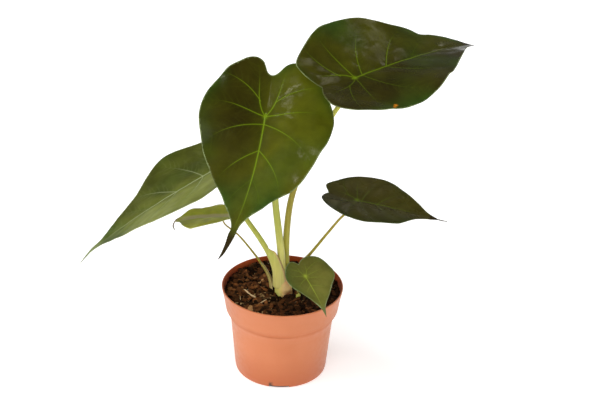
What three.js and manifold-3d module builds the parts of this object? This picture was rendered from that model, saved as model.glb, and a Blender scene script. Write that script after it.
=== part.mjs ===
// A potted alocasia: six heart-shaped leaves on long stalks, a swollen crown, potting soil
// and a thin-walled round nursery pot.
// Millimetres. +Z is up and -Y is the front. The origin is the middle of the pot's underside.
import * as THREE from 'three';
import { mergeVertices } from 'three/addons/utils/BufferGeometryUtils.js';
import Module from 'manifold-3d';

const wasm = await Module();
wasm.setup();

// ---------------------------------------------------------------- driving dimensions

const GAP = 0.3; // air between neighbouring pieces

const POT = {
  height: 92,
  rimRadius: 60,
  footRadius: 44.5, // outer edge of the ring that the pot stands on
  wall: 1.3,
  bodyTop: { radius: 50.9, z: 57 }, // where the plain cone meets the collar
  collarFoot: { radius: 51.6, z: 58.4 },
  collarStep: { radius: 56.2, z: 69 },
  collarMid: { radius: 57.7, z: 80 },
  padRadius: 20, // flat pad in the middle of the underside
  floorLift: 2.5, // the floor round the pad is raised by this much
  sides: 48,
};
const NOTCH = { count: 3, width: 20, depth: 9 }; // water outlets through the standing ring
const DRAIN = { count: 6, radius: 2.5, ring: 32 }; // holes through the raised floor

// The soil climbs a little towards the back and sinks at the pot's wall and round the crown.
const SOIL = { level: 85.5, climb: 0.035, lump: 1.8, sag: 1.5, dip: 1.2, sides: 48, rings: 9 };
const BARK = { count: 32, reach: 49, clear: 15, length: [5, 11], width: [2.5, 5], thick: 2 };

const CROWN = {
  x: 1.2, y: -2.5, lean: -0.14, // where its axis meets the soil, and how it leans to the left
  bottom: 66, bulgeZ: 86, top: 97, bulge: 8.8, neck: 8.2,
};

const BLADE = { thick: 0.9, rim: 0.8, midrib: 1.5, sideRib: 0.8, waves: 2, sideShift: 1.3 };

// Each leaf is one heart-shaped blade, held under its hub by one stalk.
// The hub is where the stalk meets the blade. Blade sizes are measured on the flat blade, from
// the hub along the midrib: length to the tip, lobe back to the ends of the two basal lobes,
// sinus back to the notch between them, widest to the widest place, tail along the drawn-out tip.
// Pairs give the left side first, seen from above with the tip ahead.
// heading is the compass of the tip (0 is +X, 90 is +Y), pitch lowers it, roll lifts the left
// side. droop, sweep and twist bend the midrib over its length, nape bends the lobes, fold lifts
// the sides at the midrib and curl lets them sink again towards the margin.
// A stalk's route runs from its foot to just under the hub; radius is at foot, middle and top.
const LEAVES = [
  {
    name: 'front', hub: [-19, -30, 283.2],
    length: 137, tail: 28.5, half: [62.5, 58], widest: 0.5, lobe: 55.5, lobeAt: 0.32, sinus: 41.5,
    round: [0.33, 0.4, 0.59], neck: 0.05, neckSlope: 0.63,
    heading: -100, pitch: 48, roll: -1, droop: 11.5, nape: 11, sweep: -24, twist: 36, tipCurl: 4,
    fold: [9, 20.5], curl: [23, 17], wave: 4, phase: -26, rings: 7, fine: 1,
    route: [[-1, -3, 97.3], [-1.7, -3, 124], [-4.9, -1, 150], [-8.8, 0.5, 181],
      [-11, 0, 220], [-13.5, -6, 252]],
    radius: [4, 3.1, 2.2], approach: 16,
  },
  {
    name: 'top', hub: [60.5, -12, 316.5],
    length: 149.5, tail: 15.5, half: [70.5, 66], widest: 25.5, lobe: 46, lobeAt: 0.42, sinus: 36.5,
    round: [0.29, 0.29, 0.3], neck: 0.09, neckSlope: 0.81,
    heading: 34.5, pitch: -8.5, roll: 11, droop: 19.5, nape: -13, sweep: 5, twist: -15.5,
    tipCurl: 5.5, fold: [14, 2.5], curl: [-6.5, 0], wave: 2.2, phase: 113, rings: 7, fine: 1,
    route: [[3.7, 3.6, 97.3], [2.5, 4.6, 120], [2.7, 5, 150], [5, 5, 177.5], [8.3, 5, 194],
      [16.3, 4.5, 220.5], [30.5, 2, 250], [46, -4, 283]],
    radius: [3.5, 2.8, 1.9], approach: 13,
    sheath: { end: 0.1, width: [6.8, 5], wall: 1.5, open: 225, wrap: [75, 62] },
  },
  {
    name: 'left', hub: [-71, 7, 209.5],
    length: 161, tail: 34, half: [74, 72], widest: 18.5, lobe: 55, lobeAt: 0.32, sinus: 39,
    round: [0.53, 0.48, 0.42], neck: 0.07, neckSlope: 0.6,
    heading: 198, pitch: 27, roll: 10, droop: 19, nape: 8.5, sweep: -21, twist: -5.5, tipCurl: 9.5,
    fold: [8.5, 4.5], curl: [2.5, -9.5], wave: -2.2, phase: 17, rings: 7, fine: 1,
    route: [[-6.4, -4.5, 97.3], [-7.4, -5, 110.5], [-12.5, -5.5, 126.5], [-21.8, -5, 143.5],
      [-35, -2, 162], [-50.5, 3, 184]],
    radius: [3, 2.5, 1.9], approach: 12,
    sheath: { end: 0.34, width: [8, 5.6], wall: 1.7, open: 28, wrap: [112, 104] },
  },
  {
    name: 'left_small', hub: [-60.3, 15, 157.9],
    length: 63, tail: 15, half: [30, 26.5], widest: 17, lobe: 22, lobeAt: 0.32, sinus: 16,
    round: [0.5, 0.44, 0.44], neck: 0.09, neckSlope: 0.64,
    heading: 166.5, pitch: 11.5, roll: 6, droop: 11.5, nape: 6, sweep: -4, twist: -17,
    tipCurl: 111, fold: [17.5, 15.5], curl: [27, 27.5], wave: 1.5, phase: -81, rings: 6, fine: 0.8,
    route: [[-11.4, 3.2, 77], [-11.6, 3.4, 88], [-13.8, 4, 98], [-20.5, 5, 110.5],
      [-32, 7, 126], [-44.5, 10, 140]],
    radius: [1.7, 1, 0.7], approach: 7,
    sheath: { end: 0.42, width: [3, 2.2], wall: 1, open: 0, wrap: [80, 75] },
  },
  {
    name: 'right', hub: [69, 0, 188],
    length: 80.5, tail: 10.5, half: [35.5, 37], widest: 9, lobe: 32.5, lobeAt: 0.31, sinus: 28,
    round: [0.41, 0.42, 0.46], neck: 0.09, neckSlope: 0.66,
    heading: -12, pitch: 4.5, roll: 6, droop: 11, nape: -5, sweep: 6, twist: 10, tipCurl: -1,
    fold: [14, 12.5], curl: [11.5, 14.5], wave: -0.5, phase: -5, rings: 6, fine: 0.8,
    route: [[12.4, 3.6, 77], [12.4, 3.8, 92], [13.4, 4.3, 104], [18, 5, 114.5], [26, 6, 124],
      [42, 4, 148.5], [56.5, 2, 169.5]],
    radius: [1.8, 1.4, 1], approach: 8,
    sheath: { end: 0.34, width: [3, 2.4], wall: 1, open: 180, wrap: [75, 70] },
  },
  {
    name: 'low', hub: [22.2, -26, 117.2],
    length: 47, tail: 9.5, half: [30, 20.5], widest: 1.5, lobe: 19, lobeAt: 0.33, sinus: 14.5,
    round: [0.54, 0.49, 0.33], neck: 0.09, neckSlope: 0.56,
    heading: -56.5, pitch: 26, roll: -0.5, droop: 8.5, nape: -5, sweep: -4, twist: -2.5,
    tipCurl: 11, fold: [9, 8], curl: [11, 17.5], wave: 0.4, phase: 14, rings: 5, fine: 0.7,
    route: [[14.6, -5, 76], [15.4, -6.4, 86], [17.4, -12, 98]],
    radius: [1.5, 1.3, 1.1], approach: 8,
  },
];

// ---------------------------------------------------------------- finishes

function finish(color, roughness, metalness = 0) {
  return new THREE.MeshStandardMaterial({ color, roughness, metalness });
}

const FINISH = {
  pot: finish(0xd8825a, 0.5),
  soil: finish(0x2f1a0c, 0.95),
  crown: finish(0xd9c28a, 0.55),
  stalk: finish(0xaab04e, 0.5),
  darkBlade: finish(0x33390f, 0.4),
  paleBlade: finish(0x5c7432, 0.45),
};
const PALE_LEAVES = ['left', 'left_small', 'low'];

// ---------------------------------------------------------------- small helpers

const rad = THREE.MathUtils.degToRad;
const lerp = THREE.MathUtils.lerp;
const vec = (xyz) => new THREE.Vector3(...xyz);

function seededRandom(seed) {
  let state = seed;
  return () => {
    state = (state * 16807) % 2147483647;
    return state / 2147483647;
  };
}

// Three values for foot, middle and top, read at u from 0 to 1.
function along([foot, middle, top], u) {
  return u < 0.5 ? lerp(foot, middle, u * 2) : lerp(middle, top, u * 2 - 1);
}

function geometryOf(vertices, triangles) {
  const geometry = new THREE.BufferGeometry();
  geometry.setAttribute('position', new THREE.Float32BufferAttribute(vertices, 3));
  geometry.setIndex(triangles);
  return geometry;
}

function solidOf(geometry) {
  const bare = geometry.clone();
  bare.deleteAttribute('normal');
  bare.deleteAttribute('uv');
  const merged = mergeVertices(bare, 1e-4);
  return new wasm.Manifold(new wasm.Mesh({
    numProp: 3,
    vertProperties: new Float32Array(merged.attributes.position.array),
    triVerts: new Uint32Array(merged.index.array),
  }));
}

function geometryFrom(solid) {
  const mesh = solid.getMesh();
  return geometryOf(Array.from(mesh.vertProperties), Array.from(mesh.triVerts));
}

// Joins rings of equal length, foot first, into one closed skin. The ends are closed by the
// given lists of triangles, which number the corners of one ring.
function skin(rings, endTriangles) {
  const corners = rings[0].length;
  const vertices = rings.flat().flatMap((p) => [p.x, p.y, p.z]);
  const triangles = [];
  for (let i = 0; i + 1 < rings.length; i += 1) {
    for (let k = 0; k < corners; k += 1) {
      const a = i * corners + k;
      const b = i * corners + ((k + 1) % corners);
      triangles.push(a, b, b + corners, a, b + corners, a + corners);
    }
  }
  const last = (rings.length - 1) * corners;
  for (const [a, b, c] of endTriangles) {
    triangles.push(a, c, b, last + a, last + b, last + c);
  }
  return geometryOf(vertices, triangles);
}

// ---------------------------------------------------------------- pot

function potOuterProfile() {
  const { padRadius, floorLift, footRadius, wall } = POT;
  return [
    [0, 0], [padRadius, 0], [padRadius + 1, floorLift],
    [footRadius - wall, floorLift], [footRadius - wall, 0],
    [footRadius, 0], [footRadius + 1.2, 0.9], [footRadius + 1.7, 4],
    [POT.bodyTop.radius, POT.bodyTop.z], [POT.collarFoot.radius, POT.collarFoot.z],
    [POT.collarStep.radius, POT.collarStep.z], [POT.collarMid.radius, POT.collarMid.z],
    [POT.rimRadius - 0.2, POT.height - 1.6], [POT.rimRadius, POT.height - 0.6],
    [POT.rimRadius - 0.5, POT.height],
  ];
}

// From the rim down the inside to the floor. clear moves it into the pot, for what fills it.
function potInnerProfile(clear = 0) {
  const inset = POT.wall + clear;
  const floor = POT.floorLift + POT.wall + clear;
  const pad = POT.wall + clear;
  return [
    [POT.rimRadius - inset - 0.2, POT.height - 0.4],
    [POT.collarMid.radius - inset, POT.collarMid.z],
    [POT.collarStep.radius - inset, POT.collarStep.z],
    [POT.collarFoot.radius - inset, POT.collarFoot.z + 0.4],
    [POT.bodyTop.radius - inset, POT.bodyTop.z + 0.2],
    [POT.footRadius + 1.8 - inset, floor + 1.5], [POT.footRadius + 0.6 - inset, floor],
    [POT.padRadius + 1 - inset, floor], [POT.padRadius - inset, pad], [0, pad],
  ];
}

function turned(profile, sides) {
  const points = profile.map(([r, z]) => new THREE.Vector2(r, z));
  return new THREE.LatheGeometry(points, sides).rotateX(Math.PI / 2);
}

function buildPot() {
  let pot = solidOf(turned([...potOuterProfile(), ...potInnerProfile()], POT.sides));
  for (let i = 0; i < NOTCH.count; i += 1) {
    const notch = new THREE.BoxGeometry(NOTCH.depth, NOTCH.width, POT.floorLift * 2);
    notch.translate(POT.footRadius, 0, 0).rotateZ(rad(-90 + (360 * i) / NOTCH.count));
    pot = pot.subtract(solidOf(notch));
  }
  for (let i = 0; i < DRAIN.count; i += 1) {
    const hole = new THREE.CylinderGeometry(DRAIN.radius, DRAIN.radius, 12, 12);
    hole.rotateX(Math.PI / 2).translate(DRAIN.ring, 0, 2);
    hole.rotateZ(rad((360 * (i + 0.5)) / DRAIN.count));
    pot = pot.subtract(solidOf(hole));
  }
  return geometryFrom(pot);
}

// ---------------------------------------------------------------- stalks

// The underside's furthest reach below the hub, where the ribs meet.
const hubDepth = BLADE.thick / 2 + BLADE.midrib;

function bladeTurn(leaf) {
  const turn = new THREE.Euler(rad(leaf.roll), rad(leaf.pitch), rad(leaf.heading), 'ZYX');
  return new THREE.Matrix4().makeRotationFromEuler(turn);
}

function stalkPath(leaf) {
  const up = vec([0, 0, 1]).transformDirection(bladeTurn(leaf));
  const below = (depth) => vec(leaf.hub).addScaledVector(up, -depth);
  const points = [...leaf.route.map(vec), below(leaf.approach), below(hubDepth + GAP)];
  return { curve: new THREE.CatmullRomCurve3(points, false, 'centripetal'), up };
}

// One ring of a stalk: round above, and an open trough that wraps the younger stalks below.
function stalkRing(leaf, u, corners, grow) {
  const quarter = corners / 4;
  const radius = along(leaf.radius, u) + grow;
  const sheath = leaf.sheath;
  const open = sheath ? 1 - THREE.MathUtils.smoothstep(u, sheath.end * 0.8, sheath.end) : 0;
  const ring = [];
  for (let k = 0; k < corners; k += 1) {
    const angle = Math.PI / 2 + (2 * Math.PI * k) / corners;
    const point = new THREE.Vector2(radius * Math.cos(angle), radius * Math.sin(angle));
    if (open > 0) {
      const way = Math.min(u / sheath.end, 1);
      const big = lerp(...sheath.width, way) + grow;
      const half = rad(lerp(...sheath.wrap, way)) + (2 * grow) / big;
      const outside = k <= corners / 2;
      const step = outside ? k : corners - k;
      const turn = Math.PI - half + (step / (corners / 2)) * 2 * half;
      const edge = Math.abs(step - quarter) / quarter; // 0 at the back, 1 at the margins
      const wall = lerp(sheath.wall, sheath.wall * 0.6, edge) + 2 * grow;
      const reach = outside ? big : big - wall;
      const middle = big - radius;
      const bent = new THREE.Vector2(middle + reach * Math.cos(turn), reach * Math.sin(turn));
      point.lerp(bent, open);
    }
    ring.push(point);
  }
  return ring;
}

// grow fattens the stalk and its foot, which gives the hole that it stands in.
function stalkGeometry(leaf, grow = 0) {
  const { curve, up } = stalkPath(leaf);
  const corners = leaf.sheath && leaf.sheath.width[0] > 5 ? 16 : 12;
  const steps = Math.round(curve.getLength() / 11) + 5;
  const facing = rad(leaf.sheath ? leaf.sheath.open : 0);
  const towards = new THREE.Vector3(Math.cos(facing), Math.sin(facing), 0);
  const rings = [];
  for (let i = 0; i <= steps; i += 1) {
    const u = (i / steps) ** 1.25; // closer rings near the foot
    const at = curve.getPointAt(u);
    let axis = curve.getTangentAt(u);
    if (i === 0) axis = new THREE.Vector3(0, 0, 1);
    if (i === steps) axis = up;
    if (i === 0) at.z -= grow;
    const side = towards.clone().addScaledVector(axis, -towards.dot(axis)).normalize();
    const across = axis.clone().cross(side);
    rings.push(stalkRing(leaf, u, corners, grow).map((p) => (
      at.clone().addScaledVector(side, p.x).addScaledVector(across, p.y))));
  }
  const ends = [[0, 1, corners - 1], [corners / 2 - 1, corners / 2, corners / 2 + 1]];
  for (let k = 1; k < corners / 2 - 1; k += 1) {
    ends.push([k, k + 1, corners - k - 1], [k, corners - k - 1, corners - k]);
  }
  return skin(rings, ends);
}

// ---------------------------------------------------------------- blades

// One side of the flat outline, from the notch round the lobe to the tip, and which of its
// points carry a rib.
function halfOutline(leaf, side) {
  const w = leaf.half[side > 0 ? 0 : 1];
  const { length, tail, widest, lobe, lobeAt, sinus } = leaf;
  const [roundLobe, roundSide, roundFront] = leaf.round;
  const shoulder = length - tail;
  const neck = leaf.neck * w;
  const slope = (leaf.neckSlope * w) / (shoulder - widest);
  const before = 0.28 * (shoulder - widest);
  const after = 0.3 * tail;
  const notch = [-sinus, 0];
  const lobeEnd = [-lobe, lobeAt * w];
  const broad = [widest, w];
  const narrow = [shoulder, neck];
  const parts = [
    [notch, [-sinus - 0.45 * (lobe - sinus), 0.12 * lobeAt * w], [-lobe, 0.5 * lobeAt * w],
      lobeEnd, 4],
    [lobeEnd, [-lobe, w * lerp(lobeAt, 1, roundLobe)], [widest - roundSide * (widest + lobe), w],
      broad, 6],
    [broad, [lerp(widest, shoulder, roundFront), w], [shoulder - before, neck + before * slope],
      narrow, 9],
    [narrow, [shoulder + after, Math.max(neck - after * slope, 0.3 * neck)],
      [length - 0.4 * tail, 0.25 * neck], [length, 0], 5],
  ];
  const points = [];
  for (const [a, b, c, d, count] of parts) {
    const corners = [a, b, c, d].map(([s, t]) => new THREE.Vector2(s, t * side));
    const pieces = new THREE.CubicBezierCurve(...corners).getPoints(Math.ceil(count * leaf.fine));
    pieces.pop();
    pieces.forEach((p, i) => points.push({ s: p.x, t: p.y, rib: i === 0 ? BLADE.sideRib : 0 }));
  }
  points[0].rib = 0; // no rib runs to the notch
  points.push({ s: length, t: 0, rib: BLADE.midrib });
  return points;
}

// The closed flat outline: left side out to the tip, right side back to the notch.
function bladeOutline(leaf) {
  const left = halfOutline(leaf, 1);
  const right = halfOutline(leaf, -1);
  return [...left, ...right.slice(1, -1).reverse()];
}

// Direction of the midrib and of the blade's left at s, in the leaf's own axes.
function midribFrame(leaf, s) {
  const share = Math.abs(s) / (s >= 0 ? leaf.length : leaf.lobe);
  const inTail = THREE.MathUtils.clamp((s - leaf.length + leaf.tail) / leaf.tail, 0, 1);
  const bend = s >= 0 ? leaf.droop * share ** 1.5 + leaf.tipCurl * inTail : -leaf.nape * share;
  const down = rad(bend);
  const aside = rad(s >= 0 ? leaf.sweep * share ** 1.5 : 0);
  const twist = rad(s > 0 ? leaf.twist * share : 0);
  const ahead = new THREE.Vector3(
    Math.cos(down) * Math.cos(aside), Math.sin(aside), -Math.sin(down) * Math.cos(aside));
  const flatLeft = new THREE.Vector3(
    -Math.cos(down) * Math.sin(aside), Math.cos(aside), Math.sin(down) * Math.sin(aside));
  const left = flatLeft.clone().applyAxisAngle(ahead, twist);
  return { ahead, left, up: ahead.clone().cross(left) };
}

// Where the flat point s, t lies on the bent blade, in the leaf's own axes.
function bladePoint(leaf, s, t) {
  const pieces = 24;
  const point = new THREE.Vector3();
  for (let i = 0; i < pieces; i += 1) {
    point.addScaledVector(midribFrame(leaf, (s * (i + 0.5)) / pieces).ahead, s / pieces);
  }
  const side = t < 0 ? -1 : 1;
  const pick = t < 0 ? 1 : 0;
  const w = leaf.half[pick];
  const fold = rad(leaf.fold[pick]);
  const bend = -rad(leaf.curl[pick] || 0.001) / w;
  const r = Math.abs(t);
  const out = (Math.sin(fold + bend * r) - Math.sin(fold)) / bend;
  const swing = (2 * Math.PI * BLADE.waves * s) / leaf.length + rad(leaf.phase)
    + (t > 0 ? 0 : BLADE.sideShift);
  const lift = (Math.cos(fold) - Math.cos(fold + bend * r)) / bend
    + leaf.wave * (r / w) ** 2 * Math.sin(swing);
  const { left, up } = midribFrame(leaf, s);
  return point.addScaledVector(left, side * out).addScaledVector(up, lift);
}

function bladeNormal(leaf, s, t) {
  if (t === 0) return midribFrame(leaf, s).up;
  const step = 0.4;
  const side = Math.sign(t);
  const here = bladePoint(leaf, s, t);
  const ahead = bladePoint(leaf, s + step, t).sub(here);
  const out = bladePoint(leaf, s, t + step * side).sub(here).multiplyScalar(side);
  return ahead.cross(out).normalize();
}

// Rings of the outline, scaled about the hub, above and below the blade's middle surface.
// Both faces are split alike, so that they stay a blade's thickness apart.
function bladeGeometry(leaf) {
  const outline = bladeOutline(leaf);
  const corners = outline.length;
  const faces = { above: [], below: [] };
  const addPair = (s, t, rib, reach) => {
    const middle = bladePoint(leaf, s, t);
    const normal = bladeNormal(leaf, s, t);
    const half = lerp(BLADE.thick, BLADE.rim, reach) / 2;
    faces.above.push(middle.clone().addScaledVector(normal, half));
    faces.below.push(middle.clone().addScaledVector(normal, -half - rib * (1 - 0.9 * reach)));
  };
  addPair(0, 0, BLADE.midrib, 0);
  for (let ring = 1; ring <= leaf.rings; ring += 1) {
    const reach = ring / leaf.rings;
    outline.forEach((p) => addPair(p.s * reach, p.t * reach, p.rib, reach));
  }
  const vertices = [...faces.above, ...faces.below].flatMap((p) => [p.x, p.y, p.z]);
  const below = faces.above.length;
  const triangles = [];
  const addBoth = (a, b, c) => triangles.push(a, b, c, below + a, below + c, below + b);
  const at = (ring, k) => 1 + (ring - 1) * corners + (k % corners);
  for (let k = 0; k < corners; k += 1) {
    addBoth(0, at(1, k + 1), at(1, k));
    for (let ring = 1; ring < leaf.rings; ring += 1) {
      addBoth(at(ring, k), at(ring + 1, k + 1), at(ring + 1, k));
      addBoth(at(ring, k), at(ring, k + 1), at(ring + 1, k + 1));
    }
    const a = at(leaf.rings, k);
    const b = at(leaf.rings, k + 1);
    triangles.push(a, b, below + b, a, below + b, below + a);
  }
  return geometryOf(vertices, triangles);
}

// ---------------------------------------------------------------- crown and soil

function crownProfile(grow = 0) {
  const { top, bulge, bulgeZ, neck, bottom } = CROWN;
  return [
    [0, bottom - grow], [bulge * 0.55, bottom + 1 - grow], [bulge * 0.85, bottom + 6],
    [bulge * 0.97, bottom + 14], [bulge, bulgeZ], [lerp(neck, bulge, 0.6), lerp(bulgeZ, top, 0.5)],
    [neck, top - 0.8], [neck - 0.8, top], [0, top],
  ].map(([r, z]) => [r > 0 ? r + grow : 0, z]);
}

function crownGeometry(grow = 0) {
  const crown = turned(crownProfile(grow), 24);
  const lean = new THREE.Matrix4().set(
    1, 0, CROWN.lean, CROWN.x - CROWN.lean * SOIL.level, 0, 1, 0, CROWN.y, 0, 0, 1, 0, 0, 0, 0, 1);
  return crown.applyMatrix4(lean);
}

// Lumps of the soil's surface, as a sum of a few slow and quick waves.
function soilHeight(x, y) {
  const slow = Math.sin(x * 0.17 + 1.1) * Math.cos(y * 0.15 - 0.4);
  const quick = Math.sin(x * 0.33 - y * 0.21) * Math.cos(y * 0.36 + x * 0.1 + 0.7);
  const edge = (Math.hypot(x, y) / POT.rimRadius) ** 4;
  const near = Math.exp(-(((Math.hypot(x - CROWN.x, y - CROWN.y) - CROWN.bulge) / 8) ** 2));
  return SOIL.level + SOIL.climb * y + SOIL.lump * (0.5 * slow + 0.5 * quick)
    - SOIL.sag * edge - SOIL.dip * near;
}

function soilBody() {
  const inner = potInnerProfile(GAP * 1.5); // measured level, so that sloping walls keep a gap
  const [rim, collar] = inner;
  const share = (SOIL.level - SOIL.sag - collar[1]) / (rim[1] - collar[1]);
  const topRadius = lerp(collar[0], rim[0], share) - 0.2;
  const walls = inner.slice(1, -1).reverse();
  const ringAt = (radius, height) => {
    const ring = [];
    for (let k = 0; k < SOIL.sides; k += 1) {
      const angle = (2 * Math.PI * k) / SOIL.sides;
      const x = radius * Math.cos(angle);
      const y = radius * Math.sin(angle);
      ring.push(new THREE.Vector3(x, y, height ?? soilHeight(x, y)));
    }
    return ring;
  };
  const rings = walls.map(([r, z]) => ringAt(r, z));
  for (let i = 0; i < SOIL.rings; i += 1) {
    rings.push(ringAt((topRadius * (SOIL.rings - i)) / SOIL.rings));
  }
  const fan = [];
  for (let k = 1; k + 1 < SOIL.sides; k += 1) fan.push([0, k, k + 1]);
  return solidOf(skin(rings, fan));
}

// Flakes of bark, half sunk in the soil and kept off the crown and the pot's wall.
function barkFlakes() {
  const random = seededRandom(4711);
  const between = ([low, high]) => lerp(low, high, random());
  const flakes = [];
  while (flakes.length < BARK.count) {
    const reach = lerp(BARK.clear, BARK.reach, Math.sqrt(random()));
    const angle = 2 * Math.PI * random();
    const x = CROWN.x + reach * Math.cos(angle);
    const y = CROWN.y + reach * Math.sin(angle);
    const flake = new THREE.BoxGeometry(between(BARK.length), between(BARK.width), BARK.thick);
    flake.rotateX(rad(lerp(-28, 28, random()))).rotateY(rad(lerp(-24, 24, random())));
    flake.rotateZ(Math.PI * random()).translate(x, y, soilHeight(x, y) + 0.2);
    flakes.push(solidOf(flake));
  }
  return flakes;
}

function soilGeometry() {
  let soil = soilBody();
  for (const flake of barkFlakes()) soil = soil.add(flake);
  soil = soil.subtract(solidOf(crownGeometry(GAP)));
  for (const leaf of LEAVES.filter((one) => one.route[0][2] < SOIL.level)) {
    soil = soil.subtract(solidOf(stalkGeometry(leaf, GAP)));
  }
  return geometryFrom(soil);
}

// ---------------------------------------------------------------- assembly

function node(name, geometry, material) {
  const mesh = new THREE.Mesh(geometry, material);
  mesh.name = name;
  return mesh;
}

function leafNodes(leaf) {
  const colour = PALE_LEAVES.includes(leaf.name) ? FINISH.paleBlade : FINISH.darkBlade;
  const blade = node(`blade_${leaf.name}`, bladeGeometry(leaf), colour);
  blade.applyMatrix4(bladeTurn(leaf));
  blade.position.set(...leaf.hub);
  return [node(`stalk_${leaf.name}`, stalkGeometry(leaf), FINISH.stalk), blade];
}

const plant = new THREE.Group();
plant.add(node('pot', buildPot(), FINISH.pot));
plant.add(node('soil', soilGeometry(), FINISH.soil));
plant.add(node('crown', crownGeometry(), FINISH.crown));
for (const leaf of LEAVES) plant.add(...leafNodes(leaf));

export default plant;
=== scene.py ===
# %% [markdown]
# # A potted alocasia, dressed for its portrait
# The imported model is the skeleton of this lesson: six heart-shaped blades, their stalks, a
# swollen crown, soil and a nursery pot, all at true size. Each cell builds one visible piece
# round that skeleton or one finish that covers it. Lengths are written in millimetres, as a
# grower would measure them, and become metres only where a mesh is made.

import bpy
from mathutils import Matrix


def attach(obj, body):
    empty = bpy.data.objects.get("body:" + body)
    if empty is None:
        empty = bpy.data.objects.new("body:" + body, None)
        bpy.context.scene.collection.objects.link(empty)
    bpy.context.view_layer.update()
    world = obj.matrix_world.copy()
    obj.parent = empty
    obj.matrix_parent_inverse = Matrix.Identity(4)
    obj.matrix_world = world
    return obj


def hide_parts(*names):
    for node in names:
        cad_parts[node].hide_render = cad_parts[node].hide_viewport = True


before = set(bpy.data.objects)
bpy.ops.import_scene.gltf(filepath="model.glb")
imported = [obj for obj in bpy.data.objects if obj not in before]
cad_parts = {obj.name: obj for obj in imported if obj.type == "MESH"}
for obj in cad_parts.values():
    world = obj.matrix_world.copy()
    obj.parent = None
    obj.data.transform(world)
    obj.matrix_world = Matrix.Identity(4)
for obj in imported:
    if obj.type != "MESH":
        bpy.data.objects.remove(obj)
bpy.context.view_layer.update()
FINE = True

import math

import bmesh
import bpy
import numpy as np
from mathutils import Matrix, Vector, geometry, noise

MM = 0.001  # a millimetre, in Blender's metres

# %% [markdown]
# ## The camera and the studio
# The portrait looks down on the plant from the front by 27 degrees, from a little over a
# metre away, with a short telephoto view. The camera is turned about its own axis by two
# degrees. Its axes are written out as vectors, because that states the view exactly, where
# rotations in a row would need to be untangled.

# %% Camera
PITCH, ROLL = math.radians(26.7), math.radians(2.0)
DISTANCE, FOCAL_PIXELS, FRAME_WIDTH = 1200.0, 1255.0, 612
SENSOR_WIDTH = 36.0
AIM = Vector((20.4, 0.0, 181.7))

forward = Vector((0, math.cos(PITCH), -math.sin(PITCH)))
level_right = Vector((1, 0, 0))
level_up = level_right.cross(forward)
view_right = level_right * math.cos(ROLL) + level_up * math.sin(ROLL)
view_up = level_up * math.cos(ROLL) - level_right * math.sin(ROLL)

camera = bpy.data.objects.new("portrait_camera", bpy.data.cameras.new("portrait_camera"))
bpy.context.scene.collection.objects.link(camera)
camera.data.sensor_fit = "HORIZONTAL"
camera.data.sensor_width = SENSOR_WIDTH
camera.data.lens = FOCAL_PIXELS / FRAME_WIDTH * SENSOR_WIDTH
camera.data.clip_start = 0.05
turned = Matrix((view_right, view_up, -forward)).transposed().to_4x4()
camera.matrix_world = Matrix.Translation((AIM - forward * DISTANCE) * MM) @ turned
bpy.context.scene.camera = camera
print("camera at", [round(v, 3) for v in camera.location], "m, lens",
      round(camera.data.lens, 1), "mm")

# %% [markdown]
# ## Light
# A plant portrait of this kind is shot on a white table with a white wall behind it and a dark
# ceiling above, with a few soft boxes. The dark ceiling matters as much as the lamps do:
# the glossy leaves mirror it, so they stay deep in colour and shine only where they face a
# lamp. The world is therefore white near the horizon and dim overhead. The soft boxes stand
# far away, so each is a sun with a wide disc, which lights the whole table evenly. The three
# wide ones wear a polarising sheet, which keeps their mirror image off the leaves. Five weak
# warm ones are let into the gloss, each aimed at the part of a leaf that has to shine.

# %% World
scene = bpy.context.scene
scene.view_settings.view_transform = "Standard"
scene.view_settings.look = "None"

WALL, CEILING = 1.05, 0.10  # brightness of the white wall and of the dim ceiling
FADE_FROM, FADE_TO = 0.06, 0.22  # where one turns into the other, as the sine of its elevation
world = bpy.data.worlds.new("white_wall_dim_ceiling")
world.use_nodes = True
sky = world.node_tree
direction = sky.nodes.new("ShaderNodeTexCoord").outputs["Generated"]
height = sky.nodes.new("ShaderNodeSeparateXYZ")
sky.links.new(direction, height.inputs[0])
fade = sky.nodes.new("ShaderNodeMapRange")
sky.links.new(height.outputs["Z"], fade.inputs[0])
for index, value in ((1, FADE_FROM), (2, FADE_TO), (3, WALL), (4, CEILING)):
    fade.inputs[index].default_value = value
sky.links.new(fade.outputs[0], sky.nodes["Background"].inputs["Strength"])
sky.nodes["Background"].inputs["Color"].default_value = (1.0, 1.0, 1.0, 1)
scene.world = world
print("world from", WALL, "at the horizon to", CEILING, "overhead")


# %% Lamps
# Name, azimuth from +X towards +Y, elevation, strength and width; all angles are in degrees.
WIDE_LAMPS = [
    ("key_left", 185, 42, 1.85, 50),
    ("fill_front", -108, 32, 1.25, 50),
    ("fill_right", -5, 36, 0.95, 60),
]
GLOSS_LAMPS = [
    ("gloss_front", -128, 65, 0.11, 5),
    ("gloss_back", 60, 54, 0.022, 6),
    ("gloss_low", 77, 30, 0.010, 5),
    ("gloss_top", 85, 61, 0.013, 5),
    ("gloss_wall", 82, 24, 0.011, 26),
]
WARM = (1.0, 0.92, 0.76)  # colour of the lamps that the leaves mirror
LAMP_DISTANCE = 1.5  # metres; a sun lights alike from anywhere, so this is only for order


def soft_box(name, azimuth, elevation, strength, width, in_gloss):
    """A far lamp with a wide disc; the leaves mirror only those in the gloss."""
    lamp = bpy.data.lights.new(name, "SUN")
    lamp.energy, lamp.angle = strength, math.radians(width)
    if in_gloss:
        lamp.color = WARM
    a, e = math.radians(azimuth), math.radians(elevation)
    towards = Vector((math.cos(e) * math.cos(a), math.cos(e) * math.sin(a), math.sin(e)))
    piece = bpy.data.objects.new(name, lamp)
    piece.location = towards * LAMP_DISTANCE
    piece.rotation_euler = towards.to_track_quat("Z", "Y").to_euler()
    piece.visible_glossy = in_gloss
    scene.collection.objects.link(piece)
    return piece


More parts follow.
